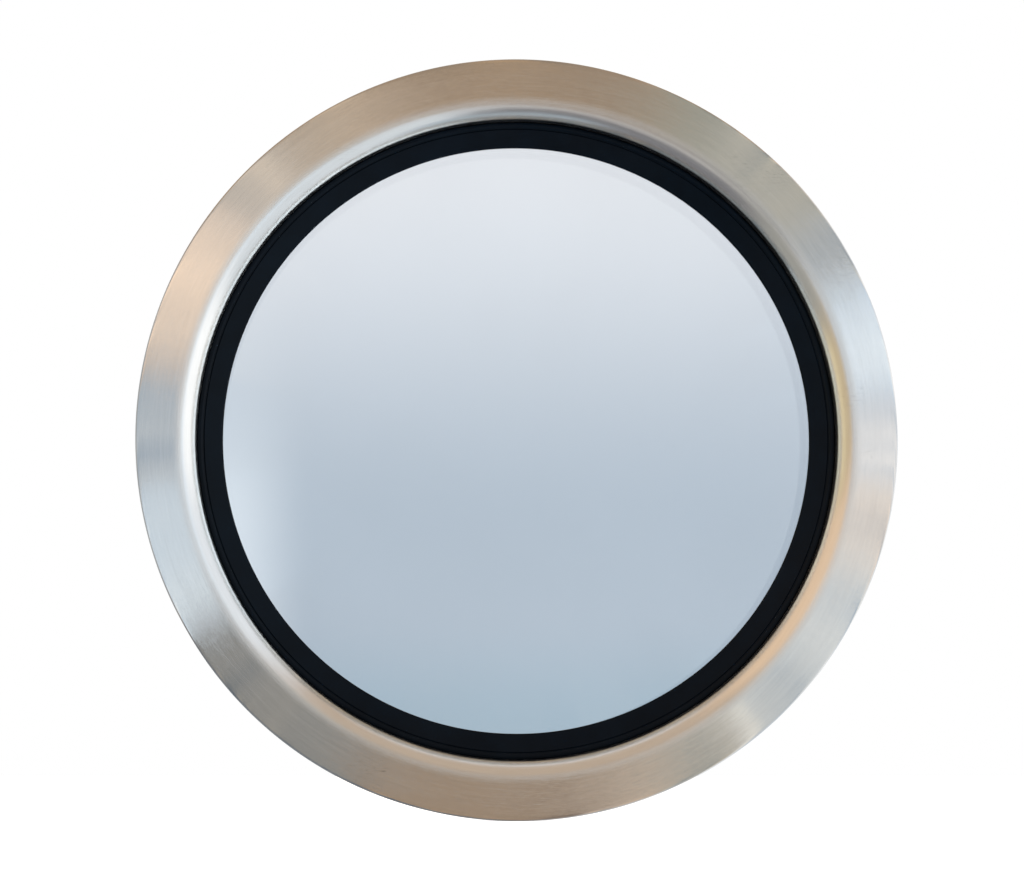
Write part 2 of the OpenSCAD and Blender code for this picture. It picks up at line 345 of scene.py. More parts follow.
def gasket_section(s, width):
    """Closed section of a gasket: lip, sloping face, groove, bead, and the foot under the throat's edge."""
    glass = -s.glass_d
    wall = s.throat_r - s.fit
    heel = s.throat_r + s.sheet
    lip = (s.throat_r - width + s.lip_r, glass + s.lip_r)
    bead = (wall - s.bead_r, glass + s.gasket_h - s.bead_r)
    groove = (bead[0] - s.bead_r, glass + s.face_h)
    slope = math.atan2(groove[1] - lip[1] - s.lip_r, groove[0] - lip[0])
    leave = circle_cut(groove, s.groove_r, bead, s.bead_r)
    edge = (groove[0] + s.groove_r * math.cos(leave), groove[1] + s.groove_r * math.sin(leave))
    crown = math.atan2(edge[1] - bead[1], edge[0] - bead[0])
    section = arc(lip, s.lip_r, -math.pi / 2, -3 * math.pi / 2, LIP_STEPS)
    low = section[-1]
    high = (groove[0] - s.groove_r * math.cos(slope), groove[1] - s.groove_r * math.sin(slope))
    section += [
        (low[0] + (high[0] - low[0]) * i / FACE_STEPS, low[1] + (high[1] - low[1]) * i / FACE_STEPS)
        for i in range(1, FACE_STEPS)
    ]
    section += arc(groove, s.groove_r, math.pi + slope, math.tau + leave, BEAD_STEPS)
    section += arc(bead, s.bead_r, crown, 0.0, BEAD_STEPS)[1:]
    section += [(wall, glass + s.foot), (heel, glass + s.foot), (heel, glass)]
    return section


def seal_section(s):
    """Closed section of a foam seal, with sides that bulge a little where the flange presses it."""
    lift = s.sheet + s.fit
    tall_in, tall_out = [skin_height(s, r, lift) for r in (s.seal_in, s.seal_out)]
    steps = range(SIDE_STEPS + 1)
    bulge = [SEAL_BULGE * math.sin(math.pi * i / SIDE_STEPS) for i in steps]
    inside = [(s.seal_in - bulge[i], tall_in * (1 - i / SIDE_STEPS)) for i in steps]
    outside = [(s.seal_out + bulge[i], tall_out * i / SIDE_STEPS) for i in steps]
    return inside + outside


def spacer_section(s, inset):
    """Section of the spacer bar's outside, or of its inside when pulled in by its wall."""
    front = s.spacer_r + inset
    back = s.spacer_r + s.spacer_d - inset
    half = s.spacer_w / 2 - inset
    middle = -(s.glass_d + s.pane + s.cavity / 2)
    step = s.shoulder
    points = [
        (front, half), (back - step, half), (back, half - step),
        (back, step - half), (back - step, -half), (front, -half),
    ]
    return [(r, middle + h) for r, h in points]


def pane_section(s, depth):
    """Edge of a pane whose front face lies at a depth, with its two ground bevels."""
    return [
        (s.unit_r - s.arris, -depth),
        (s.unit_r, -depth - s.arris),
        (s.unit_r, -depth - s.pane + s.arris),
        (s.unit_r - s.arris, -depth - s.pane),
    ]


def liner_section(s):
    """Closed section of the liner's strip."""
    b = s.burr
    near, far = -s.liner_inset, s.liner_inset - s.leaf
    inside, outside = s.liner_r, s.liner_r + s.liner
    return [
        (inside + b, near), (outside - b, near), (outside, near - b), (outside, far + b),
        (outside - b, far), (inside + b, far), (inside, far + b), (inside, near - b),
    ]


# Mesh helpers


def place(s, radius, height, angle, rear):
    """A section's point in the window's frame, at an angle from +X towards +Z."""
    depth = s.leaf + height if rear else -height
    return (radius * math.cos(angle), depth, radius * math.sin(angle))


def spin_grid(mesh, s, section, steps, rear=False, slit=None):
    """Columns of vertices that sweep a section round the window's axis, or from edge to edge of a slit."""
    if slit is None:
        turns = [math.tau * k / steps for k in range(steps)]
    else:
        start = math.pi / 2 + slit
        turns = [start + (math.tau - 2 * slit) * k / steps for k in range(steps + 1)]
    return [[mesh.verts.new(place(s, r, h, turn, rear)) for r, h in section] for turn in turns]


def skin_grid(mesh, grid, steps, keep=None):
    """Faces between the columns of a swept closed section. keep tells which faces are made."""
    count = len(grid[0])
    for k in range(steps):
        this, following = grid[k], grid[(k + 1) % len(grid)]
        for j in range(count):
            if keep is None or keep(k, j):
                nxt = (j + 1) % count
                mesh.faces.new((this[j], this[nxt], following[nxt], following[j]))


def bridge(mesh, loop_a, loop_b):
    """Faces between two loops with the same number of vertices."""
    count = len(loop_a)
    for i in range(count):
        nxt = (i + 1) % count
        mesh.faces.new((loop_a[i], loop_a[nxt], loop_b[nxt], loop_b[i]))


def stitch(mesh, rings):
    """Faces between each ring of vertices and the next. A ring of one vertex is a pole."""
    for first, second in zip(rings, rings[1:]):
        if len(first) > 1 and len(second) > 1:
            bridge(mesh, first, second)
            continue
        pole, ring = (first[0], second) if len(first) == 1 else (second[0], first)
        for i, vert in enumerate(ring):
            mesh.faces.new((pole, vert, ring[(i + 1) % len(ring)]))


def make_piece(name, mesh, materials, crease=33.0, recalc=True):
    """Turns a finished bmesh into an object, smooth except at edges sharper than crease degrees."""
    loose = [v for v in mesh.verts if not v.link_faces]
    if loose:
        bmesh.ops.delete(mesh, geom=loose, context="VERTS")
    if recalc:
        bmesh.ops.recalc_face_normals(mesh, faces=mesh.faces[:])
    limit = math.radians(crease)
    for face in mesh.faces:
        face.smooth = True
    for edge in mesh.edges:
        edge.smooth = len(edge.link_faces) == 2 and edge.calc_face_angle(0.0) < limit
    data = bpy.data.meshes.new(name)
    mesh.to_mesh(data)
    mesh.free()
    for material in materials:
        data.materials.append(material)
    piece = bpy.data.objects.new(name, data)
    bpy.context.scene.collection.objects.link(piece)
    return piece


def ring_piece(name, s, section, material, steps, rear=False):
    """A full ring swept from a closed section."""
    mesh = bmesh.new()
    grid = spin_grid(mesh, s, section, steps, rear)
    skin_grid(mesh, grid, steps)
    return make_piece(name, mesh, [material])


def evaluated_mesh(piece):
    """A plain mesh of what a piece's modifiers make of it."""
    bpy.context.view_layer.update()
    seen = piece.evaluated_get(bpy.context.evaluated_depsgraph_get())
    return bpy.data.meshes.new_from_object(seen)


def fix(piece, slot, *nodes):
    """Fixes a finished piece to the window, in the place of the CAD nodes that it stands for."""
    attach(piece, "root")
    if nodes:
        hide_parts(*nodes)
    return piece


def node_material(node, material):
    """Gives a CAD node that stays a better material."""
    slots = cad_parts[node].material_slots
    if not slots:
        raise RuntimeError("CAD node without a material slot: " + node)
    for entry in slots:
        entry.material = material


# Node helpers


def set_inputs(tree, node, inputs):
    """Sets or links each input of a node that is named."""
    for key, value in inputs.items():
        if isinstance(value, bpy.types.NodeSocket):
            tree.links.new(value, node.inputs[key])
        else:
            node.inputs[key].default_value = value


def put(tree, kind, inputs=None, **options):
    """Adds a node, sets its options, and sets or links each input that is named."""
    made = tree.nodes.new(kind)
    for key, value in options.items():
        setattr(made, key, value)
    set_inputs(tree, made, inputs or {})
    return made


def calc(tree, operation, *values):
    """Output of a Math node."""
    return put(tree, "ShaderNodeMath", dict(enumerate(values)), operation=operation).outputs[0]


def vector(tree, operation, *values):
    """Vector that a Vector Math node puts out."""
    return put(tree, "ShaderNodeVectorMath", dict(enumerate(values)), operation=operation).outputs[0]


def measure(tree, operation, *values):
    """Number that a Vector Math node puts out."""
    made = put(tree, "ShaderNodeVectorMath", dict(enumerate(values)), operation=operation)
    return made.outputs["Value"]


def scaled(tree, value, amount):
    """A vector times a number."""
    return put(tree, "ShaderNodeVectorMath", {0: value, "Scale": amount}, operation="SCALE").outputs[0]


def combined(tree, x=0.0, y=0.0, z=0.0):
    """A vector from its parts."""
    return put(tree, "ShaderNodeCombineXYZ", {0: x, 1: y, 2: z}).outputs[0]


def parted(tree, value):
    """The parts of a vector."""
    return put(tree, "ShaderNodeSeparateXYZ", {0: value}).outputs


def off_axis(tree, spot):
    """A point's place across the window's axis, and its distance from the axis."""
    flat = vector(tree, "MULTIPLY", spot, (1.0, 0.0, 1.0))
    return flat, measure(tree, "LENGTH", flat)


def remap(tree, value, low, high, to_low=0.0, to_high=1.0, smooth=False):
    """Output of a Map Range node."""
    kind = "SMOOTHSTEP" if smooth else "LINEAR"
    spans = {"Value": value, "From Min": low, "From Max": high, "To Min": to_low, "To Max": to_high}
    return put(tree, "ShaderNodeMapRange", spans, interpolation_type=kind).outputs["Result"]


def ease(tree, value, low, high, to_low=0.0, to_high=1.0):
    """A number that eases from one value to another."""
    return remap(tree, value, low, high, to_low, to_high, True)


def mix_colour(tree, amount, a, b):
    """Output of a Mix node between two colours."""

    def full(colour):
        return colour if isinstance(colour, bpy.types.NodeSocket) else (*colour[:3], 1.0)

    return put(tree, "ShaderNodeMix", {0: amount, 6: full(a), 7: full(b)}, data_type="RGBA").outputs[2]


def mix_shader(tree, amount, a, b):
    """Output of a Mix Shader node."""
    return put(tree, "ShaderNodeMixShader", {0: amount, 1: a, 2: b}).outputs[0]


def noise(tree, place_at, scale, detail=2.0, roughness=0.5, dimensions="3D", w=None):
    """Output of a Noise Texture."""
    inputs = {"Vector": place_at, "Scale": scale, "Detail": detail, "Roughness": roughness}
    if w is not None:
        inputs["W"] = w
    return put(tree, "ShaderNodeTexNoise", inputs, noise_dimensions=dimensions).outputs[0]


def cells(tree, place_at, scale):
    """Distance to the nearest cell of a Voronoi Texture."""
    return put(tree, "ShaderNodeTexVoronoi", {"Vector": place_at, "Scale": scale}).outputs["Distance"]


def new_tree(name, kind, inputs, outputs):
    """A new node group: its tree, what it is given and what it puts out."""
    tree = bpy.data.node_groups.new(name, kind)
    for label, socket_type, default in inputs:
        socket = tree.interface.new_socket(name=label, in_out="INPUT", socket_type="NodeSocket" + socket_type)
        if default is not None:
            socket.default_value = default
    for label, socket_type in outputs:
        tree.interface.new_socket(name=label, in_out="OUTPUT", socket_type="NodeSocket" + socket_type)
    return tree, tree.nodes.new("NodeGroupInput").outputs, tree.nodes.new("NodeGroupOutput").inputs


def reuse(store, *fixed):
    """Lets a builder of materials or node trees give back what is there under the name, its first value."""

    def decorate(build):
        @functools.wraps(build)
        def find_or_build(*values, **options):
            found = getattr(bpy.data, store).get((fixed + values)[0])
            return found or build(*fixed, *values, **options)

        return find_or_build

    return decorate


# Shader groups


def shader_group(name, values, outputs):
    """A new shader node group, which is given a position and named values."""
    inputs = [("Position", "Vector", None)] + [(label, "Float", default) for label, default in values]
    return new_tree(name, "ShaderNodeTree", inputs, [(label, "Float") for label in outputs])


@reuse("node_groups", "Ring Grain")
def ring_grain_group(name):
    """Brush marks that run round the window's axis."""
    tree, given, put_out = shader_group(name, [("Lines", 2400.0), ("Stretch", 9.0)], ["Streak", "Band"])
    flat, radius = off_axis(tree, given["Position"])
    long = scaled(tree, vector(tree, "NORMALIZE", flat), given["Stretch"])
    depth = parted(tree, given["Position"])["Y"]
    for label, share_of_lines, detail in (("Streak", 1.0, 3.0), ("Band", 0.09, 2.0)):
        lines = calc(tree, "MULTIPLY", given["Lines"], share_of_lines)
        across = combined(tree, y=calc(tree, "MULTIPLY", radius, lines))
        spot = vector(tree, "ADD", long, across)
        mark = noise(tree, spot, 1.0, detail, 0.6, "4D", calc(tree, "MULTIPLY", depth, lines))
        tree.links.new(mark, put_out[label])
    return tree


@reuse("node_groups", "Handling Marks")
def handling_group(name):
    """Marks of handling: soft smudges and a few fine scratches."""
    tree, given, put_out = shader_group(name, [("Fineness", 26.0)], ["Smudge", "Scratch"])
    spot = given["Position"]
    cloud = noise(tree, spot, given["Fineness"], 4.0, 0.55)
    tree.links.new(ease(tree, cloud, 0.42, 0.72), put_out["Smudge"])
    course = {"Vector": spot, "Rotation": (0.3, 0.7, 0.2), "Scale": (60.0, 60.0, 1500.0)}
    turned = put(tree, "ShaderNodeMapping", course).outputs[0]
    line = calc(tree, "ABSOLUTE", calc(tree, "SUBTRACT", noise(tree, turned, 1.0, 1.0, 0.4), 0.5))
    thin = remap(tree, line, 0.0, 0.010, 1.0, 0.0)
    where = ease(tree, noise(tree, spot, 22.0, 1.0), 0.60, 0.68)
    tree.links.new(calc(tree, "MULTIPLY", thin, where), put_out["Scratch"])
    return tree


@reuse("node_groups", "Moulded Grain")
def moulded_group(name):
    """Fine grain of moulded rubber or plastic."""
    tree, given, put_out = shader_group(name, [("Grains", 2600.0)], ["Tone", "Height"])
    tree.links.new(noise(tree, given["Position"], 70.0, 3.0, 0.6), put_out["Tone"])
    tree.links.new(cells(tree, given["Position"], given["Grains"]), put_out["Height"])
    return tree


def use_group(tree, group, position, **values):
    """Places a shader node group in a material, with its own values."""
    return put(tree, "ShaderNodeGroup", {"Position": position, **values}, node_tree=group).outputs


# Materials


def start_material(name):
    """A new material with a Principled shader, and the piece's own coordinates."""
    material = bpy.data.materials.new(name)
    material.use_nodes = True
    tree = material.node_tree
    tree.nodes.clear()
    shader = tree.nodes.new("ShaderNodeBsdfPrincipled")
    put(tree, "ShaderNodeOutputMaterial", {"Surface": shader.outputs[0]})
    return material, tree, shader, tree.nodes.new("ShaderNodeTexCoord").outputs["Object"]


def feed(tree, shader, **inputs):
    """Sets or links inputs of a shader, with spaces written as underscores."""
    set_inputs(tree, shader, {key.replace("_", " "): value for key, value in inputs.items()})


def relief(tree, shader, height, distance, strength):
    """Gives a shader a bump."""
    bump = put(tree, "ShaderNodeBump", {"Strength": strength, "Distance": distance, "Height": height})
    tree.links.new(bump.outputs[0], shader.inputs["Normal"])


@reuse("materials")
def ring_steel(name, light, dark, rough, lines, stretch, aniso, scuff=0.0):
    """Steel or alloy brushed round the window's axis. The brush scuffs a frame's nose, which stands proud."""
    s = sizes()
    material, tree, shader, spot = start_material(name)
    grain = use_group(tree, ring_grain_group(), spot, Lines=lines, Stretch=stretch)
    marks = use_group(tree, handling_group(), spot)
    tone = calc(tree, "MULTIPLY_ADD", grain["Streak"], 0.7, calc(tree, "MULTIPLY", grain["Band"], 0.3))
    colour = mix_colour(tree, remap(tree, tone, 0.32, 0.68), dark, light)
    scratched = calc(tree, "MULTIPLY", marks["Scratch"], 0.5)
    colour = mix_colour(tree, scratched, colour, (0.30, 0.29, 0.28))
    streaky = remap(tree, grain["Streak"], 0.25, 0.75, rough - 0.02, rough + 0.02)
    worn = calc(tree, "MULTIPLY_ADD", marks["Smudge"], 0.02, streaky)
    height = grain["Streak"]
    if scuff:
        radius = off_axis(tree, spot)[1]
        crown = s.throat_r + s.nose_bend
        rise = ease(tree, radius, s.throat_r, s.throat_r + 0.3 * s.nose_bend, 0.3)
        drop = ease(tree, radius, crown, crown + 2 * s.ease, scuff, 0.0)
        worn = calc(tree, "MULTIPLY_ADD", rise, drop, worn)
        height = calc(tree, "MULTIPLY", height, rise)
    tangent = put(tree, "ShaderNodeTangent", direction_type="RADIAL", axis="Y").outputs[0]
    feed(tree, shader, Base_Color=colour, Roughness=worn, Metallic=1.0)
    feed(tree, shader, Anisotropic=aniso, Anisotropic_Rotation=0.25, Tangent=tangent)
    relief(tree, shader, height, 0.00006, 0.6)
    return material


def satin_steel():
    """Satin steel of the spun frames."""
    f = finish()
    tones = (f.steel_light, f.steel_dark, f.steel_rough)
    return ring_steel("satin_steel_ring", *tones, lines=2600.0, stretch=9.0, aniso=1.0, scuff=0.085)


def liner_steel():
    """Rolled steel of the liner."""
    tones = (finish().steel_light, finish().steel_dark)
    return ring_steel("liner_steel_strip", *tones, rough=0.34, lines=1500.0, stretch=5.0, aniso=0.6)


def spacer_alloy():
    """Drawn alloy of the spacer bar."""
    tones = (finish().alloy, toned(finish().alloy, 0.86))
    return ring_steel("spacer_alloy", *tones, rough=0.38, lines=1800.0, stretch=4.0, aniso=0.4)


@reuse("materials")
def turned_metal(name, colour, rough):
    """Small turned and plated metal pieces, with marks across their axis."""
    material, tree, shader, spot = start_material(name)
    course = {"Vector": spot, "Scale": (160.0, 9000.0, 160.0)}
    turning = noise(tree, put(tree, "ShaderNodeMapping", course).outputs[0], 1.0)
    marks = use_group(tree, handling_group(), spot, Fineness=180.0)
    tone = mix_colour(tree, remap(tree, turning, 0.3, 0.7), toned(colour, 0.82), colour)
    tone = mix_colour(tree, calc(tree, "MULTIPLY", marks["Smudge"], 0.18), tone, (0.40, 0.37, 0.33))
    streaky = remap(tree, turning, 0.2, 0.8, rough - 0.05, rough + 0.06)
    worn = calc(tree, "MULTIPLY_ADD", marks["Smudge"], 0.10, streaky)
    feed(tree, shader, Base_Color=tone, Roughness=worn, Metallic=1.0)
    relief(tree, shader, turning, 0.00002, 0.10)
    return material


@reuse("materials")
def moulded(name, colour, rough, grains, depth, pale=1.6, gloss=0.5):
    """Moulded rubber or plastic with a fine grain and a dusty bloom."""
    material, tree, shader, spot = start_material(name)
    grain = use_group(tree, moulded_group(), spot, Grains=grains)
    marks = use_group(tree, handling_group(), spot, Fineness=40.0)
    bloom = toned(colour, pale)
    tone = mix_colour(tree, remap(tree, grain["Tone"], 0.35, 0.75), colour, bloom)
    worn = remap(tree, marks["Smudge"], 0.0, 1.0, rough - 0.03, rough + 0.07)
    feed(tree, shader, Base_Color=tone, Roughness=worn, Specular_IOR_Level=gloss)
    relief(tree, shader, grain["Height"], depth, 0.35)
    return material


def gasket_rubber():
    """Black rubber of the glazing gaskets. The faint blue in its colour is a painted reflection of blue
    light.
    """
    f = finish()
    return moulded(
        "gasket_rubber_skin", f.rubber, f.rubber_rough, grains=3200.0, depth=0.00003, pale=1.5, gloss=0.07
    )


def foam_cells():
    """Closed-cell foam of the seals."""
    return moulded("foam_cells", finish().foam, 0.85, grains=1500.0, depth=0.00015, pale=1.9)


def slot_shadow():
    """Painted shade inside a breathing slot: a dark colour where the hole lies in shade."""
    return moulded("slot_inside", (0.02, 0.02, 0.021), 0.8, grains=900.0, depth=0.0001)


def key_plastic():
    """Grey plastic of the spacer's key."""
    return moulded("key_plastic_grey", (0.30, 0.31, 0.33), 0.5, grains=1800.0, depth=0.00004, pale=1.15)


def butyl_rubber():
    """Black butyl of the beads that bond the spacer."""
    return moulded("butyl_black", (0.012, 0.012, 0.013), 0.55, grains=900.0, depth=0.00006)


def sealant_rubber():
    """Grey sealant behind the spacer."""
    return moulded("sealant_grey", (0.045, 0.045, 0.05), 0.6, grains=700.0, depth=0.00008, pale=1.3)


def block_plastic():
    """Blue plastic of the glazing blocks."""
    return moulded("block_plastic_blue", finish().blocks, 0.45, grains=1600.0, depth=0.00004, pale=1.12)


@reuse("materials", "clear_float_glass")
def clear_glass(name):
    """Float glass: clear, with a breath of smudges on its polish."""
    material, tree, shader, spot = start_material(name)
    marks = use_group(tree, handling_group(), spot, Fineness=9.0)
    tone = mix_colour(tree, marks["Smudge"], finish().glass, toned(finish().glass, 0.985))
    haze = remap(tree, marks["Smudge"], 0.0, 1.0, 0.0, 0.02)
    feed(tree, shader, Base_Color=tone, Roughness=haze, IOR=1.52, Transmission_Weight=1.0)
    return material


@reuse("materials", "ground_glass_edge")
def ground_glass(name):
    """Ground edge of a pane."""
    material, tree, shader, spot = start_material(name)
    grain = use_group(tree, moulded_group(), spot, Grains=5000.0)
    tone = mix_colour(tree, grain["Tone"], (0.62, 0.76, 0.74), (0.74, 0.86, 0.84))
    feed(tree, shader, Base_Color=tone, Roughness=0.55, IOR=1.52)
    relief(tree, shader, grain["Height"], 0.00004, 0.4)
    return material


@reuse("materials", "drying_bead_fill")
def bead_fill(name):
    """Loose drying beads, packed together. Each bead is lighter at its middle and darker towards the gaps
    between beads, which is painted shade.
    """
    material, tree, shader, spot = start_material(name)
    apart = cells(tree, spot, 800.0)
    # Darker towards the gaps between beads: this is painted shade. The same pattern also gives the bump.
    tone = mix_colour(tree, remap(tree, apart, 0.1, 0.7), (0.80, 0.74, 0.62), (0.36, 0.31, 0.24))
    feed(tree, shader, Base_Color=tone, Roughness=0.8)
    relief(tree, shader, calc(tree, "MULTIPLY", apart, -1.0), 0.0004, 0.8)
    return material


# Geometry node trees


def geometry_tree(name, inputs):
    """A new geometry node tree, which is given a geometry, named sizes and a material."""
    sockets = [("Geometry", "Geometry", None), *inputs, ("Material", "Material", None)]
    return new_tree(name, "GeometryNodeTree", sockets, [("Geometry", "Geometry")])


def close_tree(tree, given, put_out, points, instance, **inputs):
    """Sets an instance on each point, and ends the tree in Realize Instances and Set Material."""
    inputs = {"Points": points, "Instance": instance, **inputs}
    copies = put(tree, "GeometryNodeInstanceOnPoints", inputs).outputs[0]
    real = put(tree, "GeometryNodeRealizeInstances", {0: copies}).outputs[0]
    dressed = put(tree, "GeometryNodeSetMaterial", {"Geometry": real, "Material": given["Material"]})
    tree.links.new(dressed.outputs[0], put_out[0])


def new_points(tree, count):
    """Points, and their index."""
    points = put(tree, "GeometryNodePoints", {"Count": count}).outputs[0]
    return points, put(tree, "GeometryNodeInputIndex").outputs[0]


@reuse("node_groups", "Bolt Circle")
def bolt_circle_tree(name):
    """Repeats a piece that is modelled on the +X side round the window's axis."""
    tree, given, put_out = geometry_tree(name, [("Count", "Int", 8), ("First Angle", "Float", 0.0)])
    points, index = new_points(tree, given["Count"])
    step = calc(tree, "DIVIDE", math.tau, given["Count"])
    turn = calc(tree, "MULTIPLY_ADD", index, step, given["First Angle"])
    euler = combined(tree, y=calc(tree, "MULTIPLY", turn, -1.0))
    close_tree(tree, given, put_out, points, given["Geometry"], Rotation=euler)
    return tree


@reuse("node_groups", "Breathing Slots")
def slot_ring_tree(name):
    """Rows of thin flat discs round the inside of the spacer bar. They stand for its short slots and carry
    the slots' painted shade.
    """
    tree, given, put_out = geometry_tree(
        name,
        [
            ("Count", "Int", 190),
            ("Radius", "Float", 0.1375),
            ("Depth", "Float", 0.02),
            ("Row Gap", "Float", 0.005),
            ("Slot Length", "Float", 0.0018),
            ("Slot Width", "Float", 0.0004),
        ],
    )
    points, index = new_points(tree, calc(tree, "MULTIPLY", given["Count"], 2.0))
    row = calc(tree, "FLOOR", calc(tree, "DIVIDE", calc(tree, "ADD", index, 0.5), given["Count"]))
    stagger = calc(tree, "MULTIPLY_ADD", row, 0.5, index)
    angle = calc(tree, "MULTIPLY", stagger, calc(tree, "DIVIDE", math.tau, given["Count"]))
    across = calc(tree, "COSINE", angle)
    upward = calc(tree, "SINE", angle)
    out = combined(tree, x=across, z=upward)
    along = combined(tree, x=calc(tree, "MULTIPLY", upward, -1.0), z=across)
    shift = calc(tree, "MULTIPLY", calc(tree, "SUBTRACT", row, 0.5), given["Row Gap"])
    depth = combined(tree, y=calc(tree, "ADD", given["Depth"], shift))
    spot = vector(tree, "ADD", scaled(tree, out, given["Radius"]), depth)
    placed = put(tree, "GeometryNodeSetPosition", {"Geometry": points, "Position": spot}).outputs[0]
    axes = {"Primary Axis": out, "Secondary Axis": along}
    turn = put(tree, "FunctionNodeAxesToRotation", axes, primary_axis="Z", secondary_axis="X").outputs[0]
    disc = {"Vertices": 12, "Radius": 0.5, "Depth": 0.00006}
    pill = put(tree, "GeometryNodeMeshCylinder", disc, fill_type="NGON").outputs[0]
    span = combined(tree, given["Slot Length"], given["Slot Width"], 1.0)
    shaped = put(tree, "GeometryNodeTransform", {"Geometry": pill, "Scale": span}).outputs[0]
    close_tree(tree, given, put_out, placed, shaped, Rotation=turn)
    return tree


@reuse("node_groups", "Weld Ripples")
def weld_ring_tree(name):
    """Ripples of a weld round one sleeve's collar."""
    tree, given, put_out = geometry_tree(
        name,
        [
            ("Count", "Int", 26),
            ("Radius", "Float", 0.005),
            ("Ripple", "Float", 0.0006),
            ("Centre", "Vector", None),
            ("Seed", "Int", 3),
        ],
    )
    points, index = new_points(tree, given["Count"])
    angle = calc(tree, "MULTIPLY", index, calc(tree, "DIVIDE", math.tau, given["Count"]))
    out = combined(tree, x=calc(tree, "COSINE", angle), z=calc(tree, "SINE", angle))
    spot = vector(tree, "ADD", scaled(tree, out, given["Radius"]), given["Centre"])
    placed = put(tree, "GeometryNodeSetPosition", {"Geometry": points, "Position": spot}).outputs[0]
    ball = {"Radius": given["Ripple"], "Subdivisions": 2}
    ripple = put(tree, "GeometryNodeMeshIcoSphere", ball).outputs[0]
    spread = {2: 0.8, 3: 1.0, "ID": index, "Seed": given["Seed"]}
    uneven = put(tree, "FunctionNodeRandomValue", spread, data_type="FLOAT").outputs[1]
    close_tree(tree, given, put_out, placed, ripple, Scale=uneven)
    return tree


def grow(piece, tree, **values):
    """Runs a geometry node tree on a piece and keeps its result as a plain mesh."""
    modifier = piece.modifiers.new(tree.name, "NODES")
    modifier.node_group = tree
    wanted = {key.replace("_", " "): value for key, value in values.items()}
    for item in tree.interface.items_tree:
        if item.in_out == "INPUT" and item.name in wanted:
            modifier[item.identifier] = wanted.pop(item.name)
    if wanted:
        raise RuntimeError("no such input: " + ", ".join(wanted))
    piece.update_tag()
    grown = evaluated_mesh(piece)
    old = piece.data
    piece.modifiers.remove(modifier)
    piece.data = grown
    grown.name = piece.name
    bpy.data.meshes.remove(old)
    if not grown.polygons:
        raise RuntimeError("empty mesh: " + piece.name)
    return piece


def repeat_at_bolts(piece, s, material):
    """Repeats a piece at each bolt, half a pitch off the +X axis."""
    return grow(
        piece, bolt_circle_tree(), Count=s.bolts, First_Angle=math.pi / s.bolts, Material=material
    )


